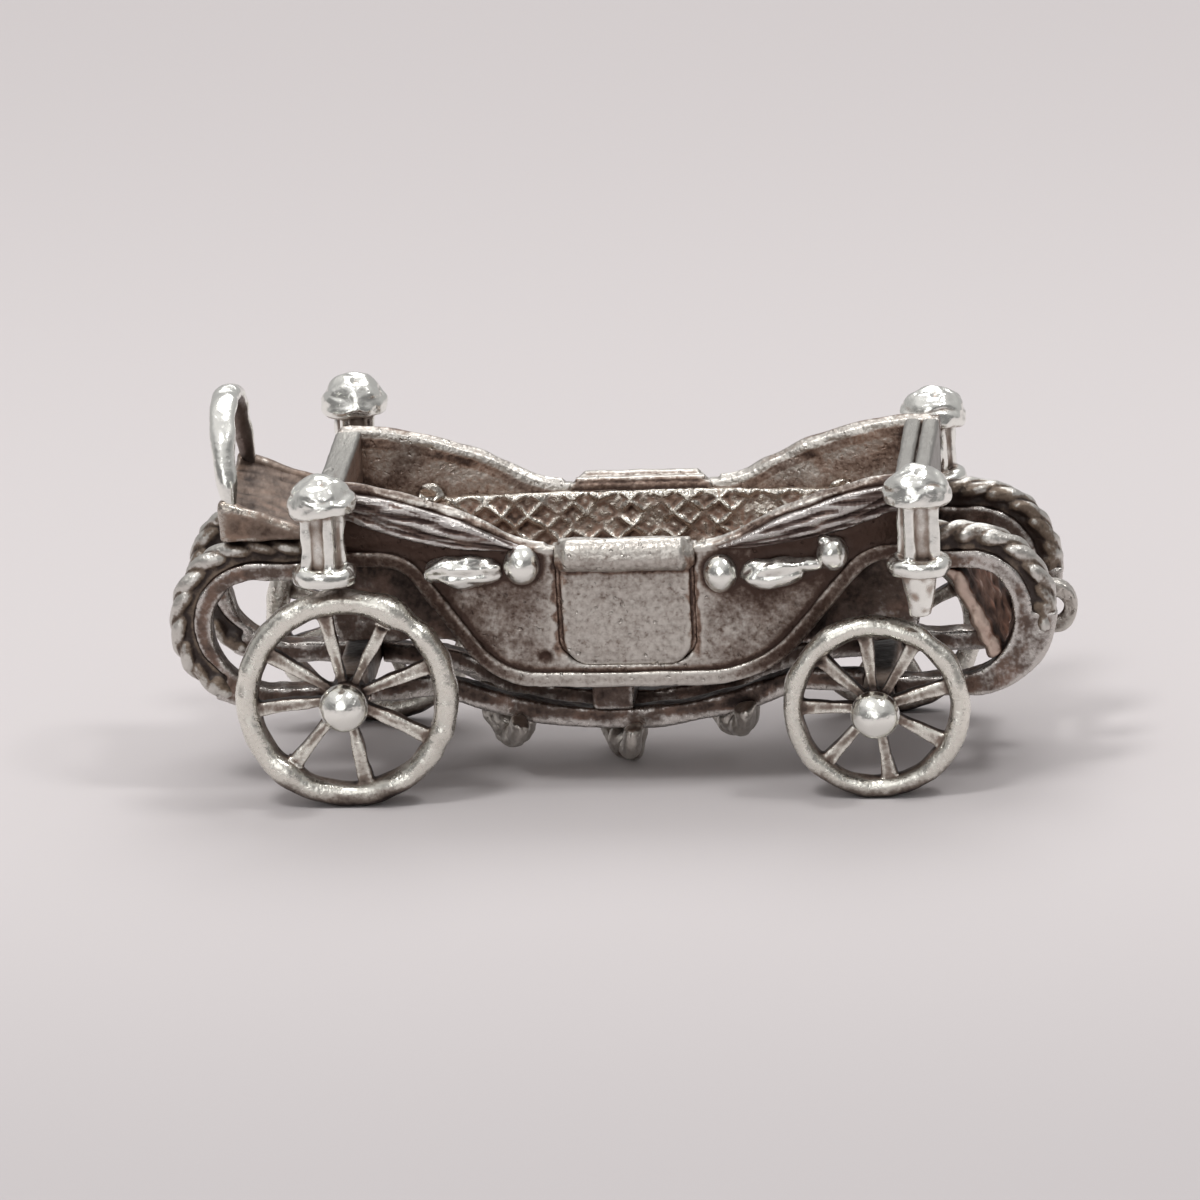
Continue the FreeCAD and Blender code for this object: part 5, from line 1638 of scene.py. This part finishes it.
    def pleats(self, side: Side) -> Shaper:
        """Folds that run along the hood and close up towards the door.

        Args:
            side: The hood's side.

        Returns:
            The shaper that raises the folds.
        """
        def shape(points: Array, normals: Array) -> Array:
            """Raise the folds on the outer face.

            Args:
                points: The piece's points.
                normals: Their normals.

            Returns:
                A number for each point.
            """
            low, top = span(points, 0.15)
            depth = top - low
            share = (points[:, 2] - low) / depth.clip(0.3)
            wave = np.sin(math.tau * (self.folds * share + 0.28 * ripple(points * (0.35, 1, 1), 1.2, 7)))
            rough = 0.6 * ripple(points * (0.25, 1.0, 1.8), 0.6, 9)
            outward = facing(normals, side.value)
            return self.fold_height * (wave + rough) * outward * np.clip(depth - 0.35, 0, 1)

        return shape

    def iron(self, end: End, side: Side) -> None:
        """The leaf bar and beads of a hood's iron.

        Args:
            end: The hood's end.
            side: The body's side.
        """
        node = f"hood_iron_{end.label}_{side.label}"
        rough = Rough()
        for x, z, wide, tall, deep in self.lumps[end]:
            face = face_at(f"side_panel_{side.label}", x, z, side)
            rough.ball((x, face + side.value * 0.08, z), (wide, deep, tall))
        bar_x, bar_z, wide, tall, _ = self.lumps[end][self.bar[end]]

        def hollow(points: Array, normals: Array) -> Array:
            """Sink the bar's middle.

            Args:
                points: The piece's points.
                normals: Their normals.

            Returns:
                A number for each point.
            """
            along, up = (points[:, 0] - bar_x) / wide, (points[:, 2] - bar_z + 0.04) / tall
            dip = np.exp(-(along / 0.62) ** 4 - (up / 0.42) ** 2)
            on_bar = rise(np.abs(points[:, 0] - bar_x), wide * 1.15, wide)
            uneven = 0.05 * ripple(points * (0.6, 1.0, 1.0), 0.5, 31) * on_bar
            return uneven - 0.1 * dip * facing(normals, side.value)

        Casting((node,), Finish.POLISHED, self.iron_softness, rough, hollow).make()


@dataclass
class Cabin:
    """The floor, seats and quilted linings, whose diamonds have a pitch and a height."""

    pitch: float = 0.98
    height: float = 0.25
    bosses: tuple[Pair, ...] = ((-6.7, 8.2), (7.15, 8.17))
    boss_radius: float = 0.4
    plain: Softness = Softness(voxel=0.075, rounds=4, ripple=0.02)
    quilted: Softness = Softness(voxel=0.055, rounds=5, swell=0.01, ripple=0.02)

    def build(self) -> None:
        """Cast the cabin's inside."""
        for node in ("floor", "rear_seat", "front_seat"):
            Casting((node,), Finish.INSIDE, self.plain, grime=self.shade, brown=self.coppery).make()
        for side in Side:
            Casting((f"lining_{side.label}",), Finish.INSIDE, self.quilted, shape=self.quilt(side),
                    grime=self.rubbed(side), brown=self.coppery).make()

    def rubbed(self, side: Side) -> Shaper:
        """The lining's bright ledge and bosses over its darker foot.

        Args:
            side: The lining's side.

        Returns:
            The shaper that colours them.
        """
        top = Box.of(f"lining_{side.label}").high[2]

        def shape(points: Array, normals: Array) -> Array:
            """Brighten the ledge and the bosses.

            Args:
                points: The piece's points.
                normals: Their normals, not used.

            Returns:
                A number for each point.
            """
            edge = top - 0.34 + 0.12 * ripple(points, 0.7, 17)
            bright = rise(points[:, 2], edge - 0.12, edge + 0.06)
            for x, z in self.bosses:
                away = np.hypot(points[:, 0] - x, points[:, 2] - z)
                bright = np.maximum(bright, rise(away, self.boss_radius + 0.2, self.boss_radius))
            return 0.2 * rise(points[:, 2], 7.0, 5.0) - 0.9 * bright

        return shape

    def coppery(self, points: Array, normals: Array) -> Array:
        """The brown of the cabin."""
        return 0.5 + 0.35 * ripple(points, 1.4, 19)

    def shade(self, points: Array, normals: Array) -> Array:
        """The cabin's deep parts, darker towards the floor."""
        return 0.2 + 0.3 * rise(points[:, 2], 8.0, 5.5)

    def quilt(self, side: Side) -> Shaper:
        """Raised seams in diamonds on the lining's inner face.

        Args:
            side: The lining's side.

        Returns:
            The shaper that raises them.
        """
        top = Box.of(f"lining_{side.label}").high[2]

        def shape(points: Array, normals: Array) -> Array:
            """Raise the seams, the cushions and the ledge.

            Args:
                points: The piece's points.
                normals: Their normals.

            Returns:
                A number for each point.
            """
            warp = 0.06 * ripple(points, 1.1, 11)
            rising = (points[:, 0] + points[:, 2] * 1.1) / self.pitch + warp
            falling = (points[:, 0] - points[:, 2] * 1.1) / self.pitch + warp
            off = [np.abs((t + 0.5) % 1 - 0.5) for t in (rising, falling)]
            ridge = np.exp(-(np.minimum(*off) / 0.18) ** 2) * (0.8 + 0.4 * ripple(points, 0.9, 13))
            pillow = np.sqrt(np.clip(np.minimum(*off) * 2, 0, 1))
            inner = facing(normals, -side.value)
            ledge = rise(points[:, 2] - top + 0.1 * ripple(points, 0.7, 17), -0.42, -0.2)
            quilted = self.height * (0.8 * ridge + 0.45 * pillow - 0.35) * (1 - ledge)
            return (quilted + (0.1 + 0.04 * ripple(points, 0.5, 18)) * ledge) * inner

        return shape


@dataclass
class Ends:
    """The footman's seat and hoop behind, and the footboard in front."""

    rough_cast: Softness = Softness(voxel=0.05, rounds=30, swell=0.06, ripple=0.03, ripple_size=0.7)
    band_softness: Softness = Softness(voxel=0.05, rounds=6, swell=0.0, ripple=0.035, ripple_size=1.3)
    half_band: float = 0.31
    band_steps: int = 90

    def build(self) -> None:
        """Cast them."""
        Casting(("footman_seat",), Finish.SEAT, self.rough_cast, level=True).make()
        self.hoop()
        Casting(("footboard",), Finish.COPPER, self.rough_cast, shape=self.pebbles, grime=self.grey_edge,
                level=True).make()

    def pebbles(self, points: Array, normals: Array) -> Array:
        """The footboard's coarse skin."""
        return 0.03 * ripple(points * (1.0, 0.28, 1.0), 0.5, 41)

    def grey_edge(self, points: Array, normals: Array) -> Array:
        """The footboard, paler on the faces that look to the near side."""
        return 0.1 - 0.4 * rise(-normals[:, 1], 0.5, 0.85)

    def hoop(self) -> None:
        """Cast the rear hoop with a rounded band, widest at its top, and a foot at each end."""
        box = Box.of("rear_hoop")
        radius = box.high[1] - self.half_band
        centre_z = box.high[2] - box.high[1]
        foot_x = box.high[0] - 0.25
        rough = Rough()
        for i in range(self.band_steps + 1):
            angle = math.pi * i / self.band_steps
            up = math.sin(angle)
            x = foot_x - (box.high[0] - box.low[0] - 0.72) * up
            spot = (x, radius * math.cos(angle), centre_z + radius * up)
            rough.ball(spot, (0.28 + 0.2 * up, self.half_band, self.half_band))
        for y in (-radius, radius):
            rough.ball((foot_x, y, centre_z - 0.1), (0.3, self.half_band, self.half_band))

        def inside(points: Array, normals: Array) -> Array:
            """Darken what faces the hoop's middle.

            Args:
                points: The piece's points.
                normals: Their normals.

            Returns:
                A number for each point.
            """
            away = np.stack((points[:, 1], points[:, 2] - centre_z), axis=1)
            away /= np.linalg.norm(away, axis=1, keepdims=True)
            return 0.75 * rise(-(away * normals[:, 1:]).sum(axis=1), 0.1, 0.7)

        Casting(("rear_hoop",), Finish.POLISHED, self.band_softness, rough, grime=inside).make()


@dataclass(frozen=True)
class Viewpoint:
    """The camera's place in degrees and metres, and its lens in pixels of the photograph."""

    azimuth: float = 4.935
    elevation: float = 15.999
    roll: float = -2.423
    distance: float = 0.394493
    aim: tuple[float, float, float] = (-0.000907, 0.0, 0.005482)
    focal_pixels: float = 11834.779
    frame_pixels: float = 1200.0
    sensor: float = 36.0
    clip: Pair = (0.01, 10.0)

    def place(self) -> None:
        """Add the camera."""
        across, up = math.radians(self.azimuth), math.radians(self.elevation)
        back = Vector((math.sin(across) * math.cos(up), -math.cos(across) * math.cos(up), math.sin(up)))
        right = Vector((math.cos(across), math.sin(across), 0.0))
        level = back.cross(right)
        turn = Matrix((right, level, back)).transposed().to_4x4()
        spin = Matrix.Rotation(math.radians(self.roll), 4, "Z")
        lens = bpy.data.cameras.new("camera")
        lens.sensor_width = self.sensor
        lens.lens = self.focal_pixels / self.frame_pixels * self.sensor
        lens.clip_start, lens.clip_end = self.clip
        camera = link("camera", lens)
        camera.matrix_world = Matrix.Translation(Vector(self.aim) + back * self.distance) @ turn @ spin
        bpy.context.scene.camera = camera


@dataclass
class Studio:
    """The pale floor, the soft light and the camera, in metres and watts.

    A softbox is its centre, its width and its power.
    """

    viewpoint: Viewpoint = Viewpoint()
    floor_size: float = 3.0
    floor_colour: Triple = (0.628, 0.593, 0.593)
    floor_far: Triple = (0.556, 0.523, 0.523)
    floor_near: Triple = (0.513, 0.484, 0.486)
    air: Triple = (0.98, 0.96, 0.96)
    room: float = 0.2
    backdrop: float = 0.45
    ceiling: float = 0.68
    softboxes: tuple[tuple[Triple, float, float], ...] = (
        ((-0.14, -0.16, 0.40), 0.10, 0.52),
        ((-0.06, -0.42, 0.17), 0.30, 0.30),
        ((0.20, -0.06, 0.40), 0.07, 0.36),
        ((0.0, 0.35, 0.45), 0.4, 1.1),
    )

    def build(self) -> None:
        """Set up the studio."""
        scene = bpy.context.scene
        scene.view_settings.view_transform = "Standard"
        self.viewpoint.place()
        self.floor()
        self.world()
        for i, (place, size, power) in enumerate(self.softboxes):
            self.softbox(f"softbox_{i}", Vector(place), size, power)

    def floor(self) -> None:
        """Lay the floor, its colour painted darker towards its far and near parts, as if less lit there."""
        bm = bmesh.new()
        bmesh.ops.create_grid(bm, x_segments=1, y_segments=1, size=self.floor_size)
        mesh = bpy.data.meshes.new("studio_floor")
        bm.to_mesh(mesh)
        bm.free()
        floor = link("studio_floor", mesh)
        made = bpy.data.materials.new("studio_floor")
        made.use_nodes = True
        graph = Graph(made.node_tree)
        split = graph.add("ShaderNodeSeparateXYZ", Vector=graph.add("ShaderNodeTexCoord").outputs["Object"])
        # painted light: the floor is paler in its middle, like a pool of light, and darker far and near
        far = graph.ramp(split.outputs["Y"], 0.02, 0.12)
        near = graph.ramp(split.outputs["Y"], 0.0, -0.05)
        pale = graph.mix(far, self.floor_colour, self.floor_far)
        colour = graph.mix(near, pale, self.floor_near)
        shader = graph.add("ShaderNodeBsdfPrincipled", Base_Color=colour, Roughness=0.9,
                           Specular_IOR_Level=0.1)
        graph.add("ShaderNodeOutputMaterial", Surface=shader.outputs[0])
        mesh.materials.append(made)

    def world(self) -> None:
        """Light from all round: a bright ceiling, a pale backdrop and a dim room behind the camera."""
        world = bpy.context.scene.world or bpy.data.worlds.new("studio")
        bpy.context.scene.world = world
        world.use_nodes = True
        graph = Graph(world.node_tree)
        place = graph.add("ShaderNodeTexCoord").outputs["Generated"]
        split = graph.add("ShaderNodeSeparateXYZ", Vector=place)
        side = graph.ramp(split.outputs["Y"], -0.35, 0.35, self.room, self.backdrop)
        above = graph.ramp(split.outputs["Z"], 0.38, 0.76)
        glow = graph.ramp(split.outputs["X"], 0.9, -0.9, 0.8, 1.15)
        walls = graph.math("MULTIPLY", side, graph.math("SUBTRACT", 1.0, above))
        ceiling = graph.math("MULTIPLY", graph.math("MULTIPLY", above, glow), self.ceiling)
        strength = graph.math("ADD", walls, ceiling)
        shader = graph.add("ShaderNodeBackground", Color=self.air, Strength=strength)
        graph.add("ShaderNodeOutputWorld", Surface=shader.outputs[0])

    def softbox(self, name: str, place: Vector, size: float, power: float) -> None:
        """Hang a round softbox that faces the carriage.

        Args:
            name: The softbox's name.
            place: Its centre.
            size: Its width.
            power: Its power in watts.
        """
        light = bpy.data.lights.new(name, "AREA")
        light.shape = "DISK"
        light.size = size
        light.energy = power
        turn = place.to_track_quat("Z", "Y").to_matrix().to_4x4()
        link(name, light).matrix_world = Matrix.Translation(place) @ turn


def main() -> None:
    """Build the carriage's pieces in order, then the studio."""
    logging.basicConfig(level=logging.INFO, format="%(message)s")
    for section in (Wheels(), Gear(), Springs(), Lamps(), Tub(), Cabin(), Ends(), Studio()):
        section.build()
        log.info("%s done", type(section).__name__)


if __name__ == "__main__":
    main()
